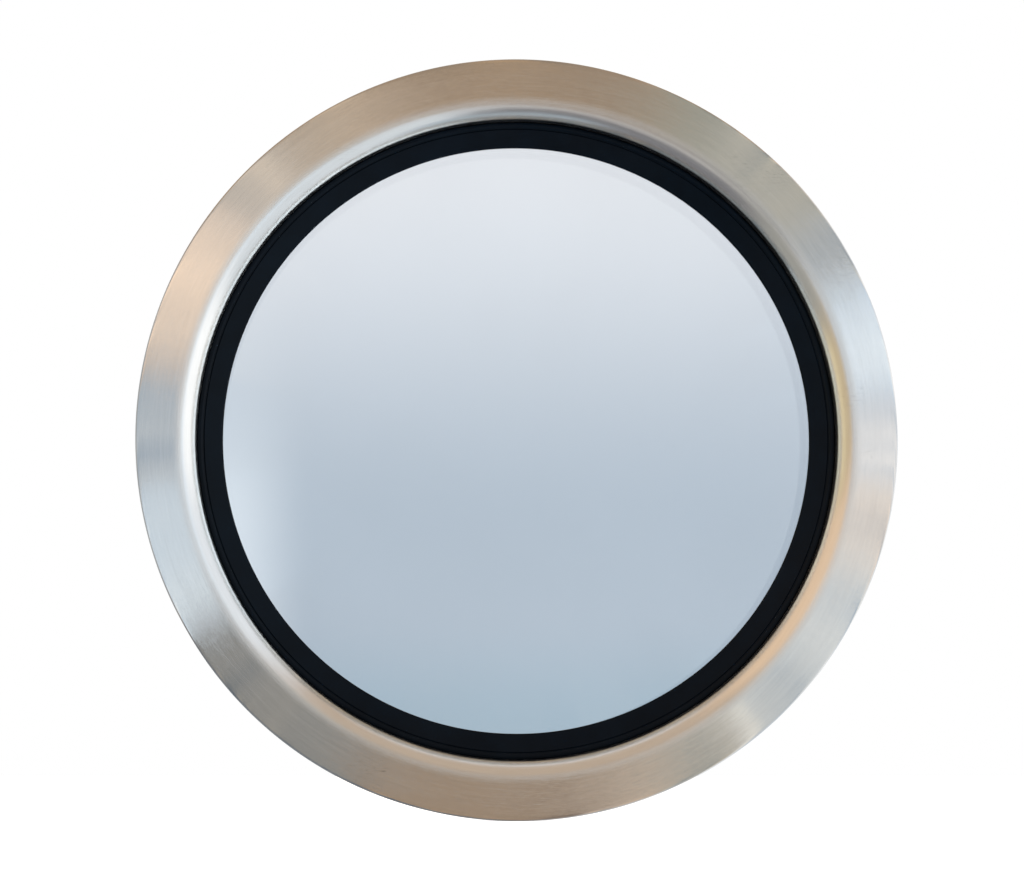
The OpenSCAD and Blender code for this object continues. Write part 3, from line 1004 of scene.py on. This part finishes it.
class PORTHOLE_OT_frames(bpy.types.Operator):
    """Spins the front frame and the rear frame, and presses the rear frame's screw dimples"""

    bl_idname = "porthole.frames"
    bl_label = "Spun frames"

    def execute(self, context):
        s = sizes()
        section, first_out, first_in = frame_section(s)
        steel = satin_steel()
        front = ring_piece("front_ring", s, section, steel, FRAME_STEPS)
        fix(front, "satin_steel", "front_frame")
        mesh = bmesh.new()
        grid = spin_grid(mesh, s, section, FRAME_STEPS, rear=True)
        centres = [round(FRAME_STEPS * (i + 0.5) / s.bolts) for i in range(s.bolts)]
        columns = range(-ROW_HALF_COLUMNS, ROW_HALF_COLUMNS)
        taken = {(middle + k) % FRAME_STEPS for middle in centres for k in columns}

        def keep(k, j):
            on_rows = first_out <= j < first_out + ROWS or first_in <= j < first_in + ROWS
            return not (on_rows and k in taken)

        skin_grid(mesh, grid, FRAME_STEPS, keep)
        for middle in centres:
            self.press_dimple(s, mesh, grid, middle, first_out, first_in)
        rear = make_piece("rear_ring", mesh, [steel])
        fix(rear, "satin_steel", "rear_frame")
        return {"FINISHED"}

    def press_dimple(self, s, mesh, grid, middle, first_out, first_in):
        """Fills the gap left round one screw hole with the dimple's cone, land and cup."""
        wide = ROW_HALF_COLUMNS
        walk = [(middle - wide + i, 0) for i in range(2 * wide)]
        walk += [(middle + wide, p) for p in range(ROWS)]
        walk += [(middle + wide - i, ROWS) for i in range(2 * wide)]
        walk += [(middle - wide, ROWS - p) for p in range(ROWS)]
        around = math.tau * middle / FRAME_STEPS
        upper = [grid[k % FRAME_STEPS][first_out + p] for k, p in walk]
        under = [grid[k % FRAME_STEPS][first_in + ROWS - p] for k, p in walk]
        top = skin_height(s, s.bolt_r)
        depth = s.mouth_r - s.hole_r
        low = top - depth - s.land
        cup = s.hole_r + s.sheet * math.sqrt(2) - s.land

        def level(turn, rho, inset):
            return skin_height(s, math.hypot(s.bolt_r + rho * math.cos(turn), rho * math.sin(turn)), inset)

        def meets(turn, inset, base, height):
            rho = base
            for _ in range(6):
                rho = base + level(turn, rho, inset) - height
            return rho

        def on_skin(turn, rho, inset, sink=0.0):
            return rho, level(turn, rho, inset) - sink

        def on_cone(rho, sink=0.0):
            return rho, top - (s.mouth_r - rho) - sink

        columns = []
        for vert in upper:
            radius = math.hypot(vert.co.x, vert.co.z)
            apart = math.atan2(vert.co.z, vert.co.x) - around
            turn = math.atan2(radius * math.sin(apart), radius * math.cos(apart) - s.bolt_r)
            lip = meets(turn, 0.0, s.mouth_r, top)
            foot = meets(turn, s.sheet, cup, low)
            course = [
                on_skin(turn, lip + 0.9 * MM, 0.0),
                on_skin(turn, lip + 0.4 * MM, 0.0, 0.012 * MM),
                on_skin(turn, lip + 0.1 * MM, 0.0, 0.07 * MM),
                on_cone(lip - 0.15 * MM, 0.02 * MM),
                on_cone(s.hole_r + 0.9 * MM),
                on_cone(s.hole_r + 0.06 * MM),
                (s.hole_r, top - depth - 0.08 * MM),
                (s.hole_r, low + 0.05 * MM),
                (s.hole_r + 0.06 * MM, low),
                (cup - 0.1 * MM, low),
                (cup + 0.06 * MM, low + 0.1 * MM),
                (foot - 0.3 * MM, low + foot - 0.3 * MM - cup),
                on_skin(turn, foot + 0.12 * MM, s.sheet, 0.06 * MM),
                on_skin(turn, foot + 0.6 * MM, s.sheet),
            ]
            column = []
            for rho, height in course:
                reach = s.bolt_r + rho * math.cos(turn)
                side = rho * math.sin(turn)
                x = reach * math.cos(around) - side * math.sin(around)
                z = reach * math.sin(around) + side * math.cos(around)
                column.append(mesh.verts.new((x, s.leaf + height, z)))
            columns.append(column)
        stitch(mesh, [upper, *zip(*columns), under])


class PORTHOLE_OT_gaskets(bpy.types.Operator):
    """Sweeps the front and rear glazing gaskets"""

    bl_idname = "porthole.gaskets"
    bl_label = "Glazing gaskets"

    def execute(self, context):
        s = sizes()
        rubber = gasket_rubber()
        for name, node, width, rear in (
            ("front_glazing_gasket", "front_gasket", s.gasket_w, False),
            ("rear_glazing_gasket", "rear_gasket", s.rear_gasket_w, True),
        ):
            ring = ring_piece(name, s, gasket_section(s, width), rubber, GASKET_STEPS, rear)
            fix(ring, "gasket_rubber", node)
        return {"FINISHED"}


class PORTHOLE_OT_seals(bpy.types.Operator):
    """Sweeps the foam seals under the two flanges"""

    bl_idname = "porthole.seals"
    bl_label = "Foam seals"

    def execute(self, context):
        s = sizes()
        foam = foam_cells()
        for name, node, rear in (
            ("front_foam_tape", "front_foam_seal", False),
            ("rear_foam_tape", "rear_foam_seal", True),
        ):
            fix(ring_piece(name, s, seal_section(s), foam, SEAL_STEPS, rear), "foam_rubber", node)
        return {"FINISHED"}


class PORTHOLE_OT_panes(bpy.types.Operator):
    """Cuts the two glass panes, with ground edges"""

    bl_idname = "porthole.panes"
    bl_label = "Glass panes"

    def execute(self, context):
        s = sizes()
        for name, node, depth in (
            ("outer_glass", "outer_pane", s.glass_d),
            ("inner_glass", "inner_pane", s.glass_d + s.pane + s.cavity),
        ):
            mesh = bmesh.new()
            grid = spin_grid(mesh, s, pane_section(s, depth), PANE_STEPS)
            last = len(grid[0]) - 1
            skin_grid(mesh, grid, PANE_STEPS, lambda k, j: j < last)
            for face in mesh.faces:
                face.material_index = 1
            for row in (0, last):
                mesh.faces.new([column[row] for column in grid])
            fix(make_piece(name, mesh, [clear_glass(), ground_glass()], 20.0), "clear_glass", node)
        return {"FINISHED"}


class PORTHOLE_OT_spacer(bpy.types.Operator):
    """Bends the spacer bar with its breathing slots, and dresses what seals it"""

    bl_idname = "porthole.spacer"
    bl_label = "Spacer bar and seals"

    def execute(self, context):
        s = sizes()
        alloy = spacer_alloy()
        mesh = bmesh.new()
        slit = math.asin(s.spacer_slit / 2 / s.spacer_r)
        outer, inner = [
            spin_grid(mesh, s, spacer_section(s, inset), SPACER_STEPS, slit=slit)
            for inset in (0.0, s.spacer_wall)
        ]
        for grid in (outer, inner):
            skin_grid(mesh, grid, SPACER_STEPS)
        for end in (0, -1):
            bridge(mesh, outer[end], inner[end])
        bar = make_piece("spacer_tube", mesh, [alloy], 25.0)
        fix(bar, "spacer_aluminium", "spacer_bar")
        # Thin dark discs stand for the breathing slots: painted shade where the holes are.
        slots = make_piece("spacer_slot_shade", bmesh.new(), [])
        grow(
            slots,
            slot_ring_tree(),
            Count=round(math.tau * s.spacer_r / s.slot_pitch),
            Radius=s.spacer_r,
            Depth=s.glass_d + s.pane + s.cavity / 2,
            Material=slot_shadow(),
        )
        fix(slots, "spacer_aluminium")
        butyl = butyl_rubber()
        for node, material in (
            ("spacer_key", key_plastic()),
            ("desiccant", bead_fill()),
            ("front_butyl_bead", butyl),
            ("rear_butyl_bead", butyl),
            ("edge_sealant", sealant_rubber()),
        ):
            node_material(node, material)
        return {"FINISHED"}


class PORTHOLE_OT_liner(bpy.types.Operator):
    """Rolls the liner strip and dresses the glazing blocks"""

    bl_idname = "porthole.liner"
    bl_label = "Liner and glazing blocks"

    def execute(self, context):
        s = sizes()
        mesh = bmesh.new()
        slit = math.asin(s.liner_slit / 2 / s.liner_r)
        grid = spin_grid(mesh, s, liner_section(s), LINER_STEPS, slit=slit)
        skin_grid(mesh, grid, LINER_STEPS)
        for end in (0, -1):
            mesh.faces.new(grid[end])
        fix(make_piece("liner_strip", mesh, [liner_steel()], 25.0), "liner_steel", "liner_sleeve")
        blocks = block_plastic()
        for node in ("setting_blocks", "locating_blocks"):
            node_material(node, blocks)
        return {"FINISHED"}


class PORTHOLE_OT_sleeves(bpy.types.Operator):
    """Turns the threaded sleeves and welds them under the front flange"""

    bl_idname = "porthole.sleeves"
    bl_label = "Weld sleeves"

    def execute(self, context):
        s = sizes()
        zinc = turned_metal("zinc_plate", finish().zinc, 0.36)
        seat = skin_height(s, s.bolt_r, s.sheet)
        sleeves = make_piece("threaded_sleeves", self.turn_sleeve(s, seat), [zinc], 28.0)
        repeat_at_bolts(sleeves, s, zinc)
        fix(sleeves, "plated_steel", "weld_sleeves")
        weld = turned_metal("weld_metal", (0.42, 0.41, 0.40), 0.42)
        welds = make_piece("sleeve_welds", bmesh.new(), [])
        grow(welds, weld_ring_tree(), Centre=(s.bolt_r, -(seat - WELD_DROP), 0.0), Material=weld)
        repeat_at_bolts(welds, s, weld)
        for polygon in welds.data.polygons:
            polygon.use_smooth = True
        fix(welds, "plated_steel")
        return {"FINISHED"}

    def turn_sleeve(self, s, seat):
        """One sleeve on the +X side, from its bore's end round to the collar under the flange."""
        end = s.sleeve_back - s.leaf
        bore = s.screw_r + s.fit
        bore_end = end + s.sleeve_bore
        collar = seat - s.collar
        edge = SLEEVE_EDGE
        course = [
            (0.0, bore_end),
            (bore * 0.98, bore_end - DRILL_POINT),
            (bore, bore_end - DRILL_CORNER),
            (bore, end + edge),
            (bore + edge, end),
            (s.sleeve_r - edge, end),
            (s.sleeve_r, end + edge),
            (s.sleeve_r, collar - WELD_FILLET),
            (s.sleeve_r + FILLET_FOOT, collar - FILLET_RISE),
            (s.collar_r - COLLAR_EDGE, collar),
            (s.collar_r, collar + COLLAR_EDGE),
            (s.collar_r, None),
            (0.0, None),
        ]
        mesh = bmesh.new()
        rings = []
        for radius, height in course:
            ring = []
            for i in range(1 if radius == 0.0 else SLEEVE_STEPS):
                turn = math.tau * i / SLEEVE_STEPS
                x = s.bolt_r + radius * math.cos(turn)
                z = radius * math.sin(turn)
                top = skin_height(s, math.hypot(x, z), s.sheet + s.fit) if height is None else height
                ring.append(mesh.verts.new((x, -top, z)))
            rings.append(ring)
        stitch(mesh, rings)
        return mesh


class PORTHOLE_OT_screws(bpy.types.Operator):
    """Cuts one raised countersunk screw with its thread and cross recess, and sets eight of them"""

    bl_idname = "porthole.screws"
    bl_label = "Clamp screws"

    def execute(self, context):
        s = sizes()
        steel = turned_metal("screw_steel_bright", (0.66, 0.655, 0.65), 0.22)
        blank = self.turn_blank(s)
        cutter = self.cross_cutter(s)
        cut = blank.modifiers.new("Cross recess", "BOOLEAN")
        cut.operation = "DIFFERENCE"
        cut.solver = "EXACT"
        cut.object = cutter
        cut.use_self = True
        made = evaluated_mesh(blank)
        mesh = bmesh.new()
        mesh.from_mesh(made)
        bpy.data.meshes.remove(made)
        bpy.data.objects.remove(cutter)
        bpy.data.objects.remove(blank)
        bmesh.ops.remove_doubles(mesh, verts=mesh.verts[:], dist=MERGE_DISTANCE)
        screws = make_piece("clamp_screw_set", mesh, [steel], 30.0, recalc=False)
        rim = s.leaf + skin_height(s, s.bolt_r) - s.head_sink
        for vert in screws.data.vertices:
            vert.co = (s.bolt_r + vert.co.x, rim + vert.co.y, vert.co.z)
        repeat_at_bolts(screws, s, steel)
        fix(screws, "screw_steel", "clamp_screws")
        return {"FINISHED"}

    def turn_blank(self, s):
        """The screw without its recess. Its head's rim is at the origin and its tip along -Y."""
        around = SCREW_STEPS
        dome = (s.head_r**2 + s.head_dome**2) / (2 * s.head_dome)
        cone = s.head_r - s.screw_r
        point = s.screw_r / 2
        core = s.screw_r - THREAD_DEPTH
        top = -cone - THREAD_START
        bottom = point - s.screw_l
        course = []
        for i in range(1, DOME_RINGS + 1):
            radius = (s.head_r - DOME_EDGE) * i / DOME_RINGS
            course.append((radius, math.sqrt(dome**2 - radius**2) - dome + s.head_dome))
        course += [
            (s.head_r, -RIM_DROP),
            (s.head_r - CONE_EDGE, -CONE_DROP),
            (s.screw_r + NECK_FILLET, -cone + NECK_FILLET),
            (core, -cone - NECK),
        ]
        rings = [[(0.0, s.head_dome)]] + [[spot] * around for spot in course]
        rows = math.ceil((top - bottom) / s.thread * ROWS_PER_PITCH)
        for i in range(rows + 1):
            depth = top + (bottom - top) * i / rows
            fade = min(1.0, i / RUNOUT_ROWS, (rows - i) / RUNOUT_ROWS)
            ring = []
            for k in range(around):
                phase = (depth / s.thread + k / around) % 1.0
                crest = max(0.0, 1.0 - abs(phase - 0.5) / FLANK)
                ring.append((core + (s.screw_r - core) * min(1.0, CREST_CUT * crest) * fade, depth))
            rings.append(ring)
        rings += [[(s.screw_r - point, -s.screw_l)] * around, [(0.0, -s.screw_l)]]
        mesh = bmesh.new()
        made = []
        for ring in rings:
            verts = []
            for k, (radius, depth) in enumerate(ring):
                turn = math.tau * k / around
                verts.append(mesh.verts.new((radius * math.cos(turn), depth, radius * math.sin(turn))))
            made.append(verts)
        stitch(mesh, made)
        return make_piece("screw_blank", mesh, [])

    def cross_cutter(self, s):
        """Two crossing wedges that cut the recess."""
        mesh = bmesh.new()
        low = s.head_dome - s.recess_d
        top = s.head_dome + MM
        for turn in (0.0, math.pi / 2):
            corners = []
            for height, reach_share, width_share in ((low, 0.55, 0.7), (top, 1.2, 1.12)):
                reach = s.recess_span / 2 * reach_share
                wide = s.recess_w / 2 * width_share
                for x, z in ((-reach, -wide), (reach, -wide), (reach, wide), (-reach, wide)):
                    spun_x = x * math.cos(turn) - z * math.sin(turn)
                    spun_z = x * math.sin(turn) + z * math.cos(turn)
                    corners.append(mesh.verts.new((spun_x, height, spun_z)))
            mesh.faces.new(corners[:4])
            mesh.faces.new(corners[4:])
            bridge(mesh, corners[:4], corners[4:])
        return make_piece("recess_cutter", mesh, [])


# The studio's light is a list of soft panels, each laid over those before it. Each has its colour, and in
# degrees its clock angle round the axis, half width and soft edge. A band follows, for each panel or for a
# whole list: near and far limits off the axis, and their soft edge.

FRONT_BAND = (2.5, 92.0, 2.0)
REAR_BAND = (92.0, 172.0, 4.0)
BACK_PANELS = (
    ((0.95, 1.00, 1.04), 320.0, 35.0, 12.0),
    ((1.22, 1.25, 1.28), 0.0, 40.0, 15.0),
    ((0.55, 0.57, 0.58), 176.0, 30.0, 12.0),
    ((0.25, 0.27, 0.29), 240.0, 35.0, 12.0),
)
FRONT_PANELS = (
    ((0.49, 0.485, 0.41), 60.0, 7.0, 3.0),
    ((0.60, 0.595, 0.54), 45.0, 12.0, 3.0),
    ((0.635, 0.67, 0.69), 31.0, 6.0, 1.5),
    ((0.98, 1.03, 1.05), 328.0, 18.0, 4.0),
    ((0.90, 0.925, 0.915), 314.0, 6.0, 6.0),
    ((1.13, 1.15, 1.18), 0.0, 10.0, 3.0),
    ((1.05, 1.19, 1.33), 17.0, 9.0, 2.0),
    ((1.08, 1.00, 0.93), 347.0, 6.0, 3.0),
    ((0.54, 0.535, 0.49), 300.0, 6.0, 3.0),
    ((0.87, 0.69, 0.53), 287.0, 6.0, 2.0),
    ((0.60, 0.43, 0.28), 91.0, 4.0, 2.0),
    ((0.36, 0.275, 0.215), 278.5, 3.0, 1.5),
    ((0.73, 0.595, 0.46), 121.0, 9.0, 4.0),
    ((0.865, 0.765, 0.66), 136.0, 7.0, 3.0),
    ((1.21, 0.99, 0.81), 154.5, 13.5, 2.0),
    ((0.65, 0.73, 0.81), 178.0, 9.0, 2.5),
    ((0.91, 1.04, 1.16), 199.0, 12.5, 1.5),
    ((0.38, 0.378, 0.362), 228.5, 17.0, 2.0),
)
# What the noses mirror of the far side, through the glass
GLASS_PANELS = (
    ((1.75, 1.82, 1.90), 345.0, 50.0, 15.0),
    ((0.98, 0.87, 0.66), 172.0, 26.0, 12.0),
)
REFLECTOR_CARDS = (
    ((1.02, 1.10, 1.17), 325.0, 50.0, 10.0, 8.0, 100.0, 2.0),
    ((1.19, 1.26, 1.34), 20.0, 26.0, 8.0, 8.0, 100.0, 2.0),
    ((1.25, 1.48, 1.70), 0.0, 28.0, 18.0, 15.0, 25.0, 2.0),
    ((1.62, 1.66, 1.68), 0.0, 14.0, 8.0, 22.0, 100.0, 8.0),
    ((1.15, 0.85, 0.59), 142.0, 22.0, 10.0, 8.0, 100.0, 2.0),
    ((0.83, 0.67, 0.42), 180.0, 16.0, 8.0, 20.0, 100.0, 5.0),
    ((1.13, 0.95, 0.61), 180.0, 16.0, 8.0, 60.0, 100.0, 12.0),
    ((0.74, 0.72, 0.70), 244.0, 46.0, 10.0, 8.0, 36.0, 2.0),
    ((0.50, 0.50, 0.46), 212.0, 15.0, 8.0, 24.0, 100.0, 4.0),
    ((0.29, 0.29, 0.31), 254.0, 32.0, 7.0, 34.0, 100.0, 4.0),
    ((0.55, 0.66, 0.74), 278.0, 18.0, 8.0, 66.0, 100.0, 6.0),
    ((1.08, 1.09, 1.09), 87.0, 26.0, 10.0, 74.0, 100.0, 3.0),
)
REFLECTOR_FILL = (0.75, 0.60, 0.46)
CENTRE_LIGHT = (0.84, 0.83, 0.82)
WHITE = (1.0, 1.0, 1.0)

# Direction that the room's panels lie round, and how deeply streaks tint their red, green and blue
ROOM_AXIS = (0.047, -1.0, 0.061)
STREAK_DEPTHS = (0.19, 0.15, 0.10)

# The reflector: its radius at the leaf, how it widens, where it starts and ends, and the radius of the ring
# that mirrors it
REFLECTOR_R = 0.1465
REFLECTOR_FLARE = 0.14
REFLECTOR_NEAR = 0.010
REFLECTOR_FAR = 6.0
RING_R = 0.15

FLOOR_REACH = 30.0


def swung(tree, swing, start, end, to_low=0.0, to_high=1.0, smooth=True):
    """A number that changes between two angles off the axis, in degrees."""
    return remap(tree, swing, math.radians(start), math.radians(end), to_low, to_high, smooth)


def panel(tree, out, swing, under, colour, clock, half, soft, near, far, edge):
    """Lays one panel of light over what is under it."""
    turn = math.radians(clock)
    aim = measure(tree, "DOT_PRODUCT", out, (math.cos(turn), math.sin(turn), 0.0))
    wide = math.cos(math.radians(min(half + soft, 179.0)))
    tight = math.cos(math.radians(max(half - soft, 0.0)))
    mask = ease(tree, aim, wide, tight)
    mask = calc(tree, "MULTIPLY", mask, swung(tree, swing, near - edge, near + edge))
    mask = calc(tree, "MULTIPLY", mask, swung(tree, swing, far - edge, far + edge, 1.0, 0.0))
    return mix_colour(tree, mask, under, colour)


def panels(tree, out, swing, light, entries, band=()):
    """Lays panels over each other, in one band if it is given."""
    for entry in entries:
        light = panel(tree, out, swing, light, *entry, *band)
    return light


class PORTHOLE_OT_stage(bpy.types.Operator):
    """Sets the floor, the studio light and the camera"""

    bl_idname = "porthole.stage"
    bl_label = "Stage"

    def execute(self, context):
        stage = context.scene.porthole_stage
        self.lay_floor(stage)
        self.light_studio(context, stage)
        self.hang_reflector()
        self.set_camera(context, stage)
        context.scene.view_settings.view_transform = "Standard"
        return {"FINISHED"}

    def lay_floor(self, stage):
        """A plain pale floor. Reflections pass through it, and the panes show the sky in its place."""
        mesh = bmesh.new()
        low = cad_box[0][2]
        corners = ((-1, -1), (1, -1), (1, 1), (-1, 1))
        mesh.faces.new([mesh.verts.new((FLOOR_REACH * x, FLOOR_REACH * y, low)) for x, y in corners])
        material, tree, shader, spot = start_material("studio_floor")
        tone = mix_colour(tree, noise(tree, spot, 3.0, 3.0), stage.floor, toned(stage.floor, 0.97))
        feed(tree, shader, Base_Color=tone, Roughness=0.9)
        feed(tree, shader, Emission_Color=(*WHITE, 1.0), Emission_Strength=0.85)
        clear = tree.nodes.new("ShaderNodeBsdfTransparent").outputs[0]
        path = tree.nodes.new("ShaderNodeLightPath").outputs
        mirrored = calc(tree, "MINIMUM", path["Glossy Depth"], 1.0)
        through = calc(tree, "MINIMUM", path["Transmission Depth"], 1.0)
        glazed = put(tree, "ShaderNodeEmission", {"Color": (*stage.sky, 1.0), "Strength": 1.0}).outputs[0]
        shown = mix_shader(tree, through, shader.outputs[0], glazed)
        shown = mix_shader(tree, mirrored, shown, clear)
        tree.links.new(shown, tree.nodes["Material Output"].inputs["Surface"])
        make_piece("floor", mesh, [material], recalc=False)

    def light_studio(self, context, stage):
        """A bright white room for the camera, with soft panels of light round it."""
        world = bpy.data.worlds.new("studio")
        context.scene.world = world
        world.use_nodes = True
        tree = world.node_tree
        tree.nodes.clear()
        look = tree.nodes.new("ShaderNodeTexCoord").outputs["Generated"]
        path = tree.nodes.new("ShaderNodeLightPath").outputs
        mirrored = calc(tree, "MINIMUM", path["Glossy Depth"], 1.0)
        crossed = calc(tree, "MULTIPLY", mirrored, calc(tree, "MINIMUM", path["Transmission Depth"], 1.0))
        direct = calc(tree, "SUBTRACT", 1.0, mirrored)
        through = calc(tree, "MULTIPLY", direct, path["Is Transmission Ray"])
        part = parted(tree, look)
        behind = ease(tree, part["Y"], 0.965, 0.985)
        light = self.room_light(tree, look, crossed, stage)
        light = mix_colour(tree, through, light, stage.sky)
        light = mix_colour(tree, behind, light, self.sky_behind(tree, part))
        shown = mix_colour(tree, path["Is Camera Ray"], light, WHITE)
        glow = put(tree, "ShaderNodeBackground", {"Color": shown, "Strength": 1.0}).outputs[0]
        put(tree, "ShaderNodeOutputWorld", {"Surface": glow})

    def room_light(self, tree, look, crossed, stage):
        """Panels round the room's axis, with fine streaks, and what a mirrored ray finds beyond the glass."""
        heading = Vector(ROOM_AXIS).normalized()
        across = Vector((1.0, 0.0, 0.0))
        across = (across - heading * across.dot(heading)).normalized()
        upward = heading.cross(across)
        swing = calc(tree, "ARCCOSINE", measure(tree, "DOT_PRODUCT", look, heading))
        sides = [measure(tree, "DOT_PRODUCT", look, side) for side in (across, upward)]
        out = vector(tree, "NORMALIZE", combined(tree, *sides))
        light = panels(tree, out, swing, stage.fill, BACK_PANELS, REAR_BAND)
        light = panels(tree, out, swing, light, FRONT_PANELS, FRONT_BAND)
        light = mix_colour(tree, swung(tree, swing, 2.0, 4.5, 1.0, 0.0), light, CENTRE_LIGHT)
        broad = remap(tree, noise(tree, out, 16.0), 0.35, 0.65, -1.0, 1.0)
        fine = remap(tree, noise(tree, out, 48.0, 2.0, 0.7), 0.35, 0.65, -1.0, 1.0)
        streak = calc(tree, "MULTIPLY_ADD", fine, 1.6, broad)
        streak = calc(tree, "MULTIPLY", streak, swung(tree, swing, 5.0, 8.0, smooth=False))
        tinted = [calc(tree, "MULTIPLY_ADD", streak, depth, 1.0) for depth in STREAK_DEPTHS]
        light = vector(tree, "MULTIPLY", light, combined(tree, *tinted))
        beyond = panels(tree, out, swing, light, GLASS_PANELS, REAR_BAND)
        return mix_colour(tree, crossed, light, beyond)

    def sky_behind(self, tree, part):
        """What the panes show from the front: a dull foot, a pale top and a light strip at the left."""
        rise = ease(tree, part["Z"], 0.008, 0.030)
        haze = ease(tree, part["Z"], 0.045, 0.118)
        sky = mix_colour(tree, rise, (0.395, 0.505, 0.61), (0.475, 0.535, 0.63))
        sky = mix_colour(tree, haze, sky, (0.925, 0.90, 0.94))
        strip = ease(tree, part["X"], -0.007, 0.009, 1.0, 0.0)
        strip = calc(tree, "MULTIPLY", strip, ease(tree, part["Z"], 0.004, 0.03))
        strip = calc(tree, "MULTIPLY", strip, ease(tree, part["Z"], 0.045, 0.075, 1.0, 0.3))
        return mix_colour(tree, strip, sky, (0.79, 0.825, 0.895))

    def hang_reflector(self):
        """A cone of soft cards in front of the window, which only reflections show."""
        mesh = bmesh.new()
        turns = [math.tau * i / REFLECTOR_STEPS for i in range(REFLECTOR_STEPS)]
        rows = []
        for depth in (REFLECTOR_NEAR, REFLECTOR_FAR):
            radius = REFLECTOR_R + REFLECTOR_FLARE * depth
            rows.append([mesh.verts.new((radius * math.cos(t), -depth, radius * math.sin(t))) for t in turns])
        bridge(mesh, *rows)
        material = bpy.data.materials.new("studio_reflector")
        material.use_nodes = True
        tree = material.node_tree
        tree.nodes.clear()
        part = parted(tree, tree.nodes.new("ShaderNodeTexCoord").outputs["Object"])
        out = vector(tree, "NORMALIZE", combined(tree, part["X"], part["Z"]))
        depth = calc(tree, "MULTIPLY", part["Y"], -1.0)
        width = calc(tree, "MULTIPLY_ADD", depth, REFLECTOR_FLARE, RING_R + REFLECTOR_R)
        swing = calc(tree, "ARCTAN2", width, depth)
        light = panels(tree, out, swing, REFLECTOR_FILL, REFLECTOR_CARDS)
        glow = put(tree, "ShaderNodeEmission", {"Color": light, "Strength": 1.0}).outputs[0]
        clear = tree.nodes.new("ShaderNodeBsdfTransparent").outputs[0]
        inside = tree.nodes.new("ShaderNodeNewGeometry").outputs["Backfacing"]
        inside = calc(tree, "MULTIPLY", inside, swung(tree, swing, 10.8, 16.0))
        put(tree, "ShaderNodeOutputMaterial", {"Surface": mix_shader(tree, inside, clear, glow)})
        reflector = make_piece("reflector", mesh, [material], recalc=False)
        reflector.visible_camera = False
        reflector.visible_diffuse = False
        reflector.visible_transmission = False
        reflector.visible_shadow = False

    def set_camera(self, context, stage):
        """The camera at the photograph's viewing angle."""
        data = bpy.data.cameras.new("camera")
        data.lens = stage.focal
        data.sensor_width = 36.0
        data.clip_end = 100.0
        camera = bpy.data.objects.new("camera", data)
        context.scene.collection.objects.link(camera)
        a, e = stage.azimuth, stage.elevation
        back = Vector((math.sin(a) * math.cos(e), -math.cos(a) * math.cos(e), math.sin(e)))
        camera.location = Vector(stage.aim) + back * stage.distance
        camera.rotation_euler = (-back).to_track_quat("-Z", "Y").to_euler()
        context.scene.camera = camera


OPERATORS = (
    PORTHOLE_OT_frames,
    PORTHOLE_OT_gaskets,
    PORTHOLE_OT_seals,
    PORTHOLE_OT_panes,
    PORTHOLE_OT_spacer,
    PORTHOLE_OT_liner,
    PORTHOLE_OT_sleeves,
    PORTHOLE_OT_screws,
    PORTHOLE_OT_stage,
)
SETTINGS = {
    "porthole_sizes": PortholeSizes,
    "porthole_finish": PortholeFinish,
    "porthole_stage": PortholeStage,
}


class PORTHOLE_PT_panel(bpy.types.Panel):
    """Lists the window's pieces and settings"""

    bl_idname = "PORTHOLE_PT_panel"
    bl_label = "Porthole window"
    bl_space_type = "VIEW_3D"
    bl_region_type = "UI"
    bl_category = "Porthole"

    def draw(self, context):
        for operator in OPERATORS:
            self.layout.operator(operator.bl_idname)
        for name, kind in SETTINGS.items():
            box = self.layout.box()
            for key in kind.__annotations__:
                box.prop(getattr(context.scene, name), key)


CLASSES = (*SETTINGS.values(), *OPERATORS, PORTHOLE_PT_panel)


def register():
    """Registers the classes and gives a scene its settings."""
    for entry in CLASSES:
        bpy.utils.register_class(entry)
    for name, kind in SETTINGS.items():
        setattr(bpy.types.Scene, name, PointerProperty(type=kind))


def unregister():
    """Takes the settings and the classes away again."""
    for name in SETTINGS:
        delattr(bpy.types.Scene, name)
    for entry in reversed(CLASSES):
        bpy.utils.unregister_class(entry)


def main():
    register()
    bpy.ops.porthole.frames()
    bpy.ops.porthole.gaskets()
    bpy.ops.porthole.seals()
    bpy.ops.porthole.panes()
    bpy.ops.porthole.spacer()
    bpy.ops.porthole.liner()
    bpy.ops.porthole.sleeves()
    bpy.ops.porthole.screws()
    bpy.ops.porthole.stage()


if __name__ == "__main__":
    main()
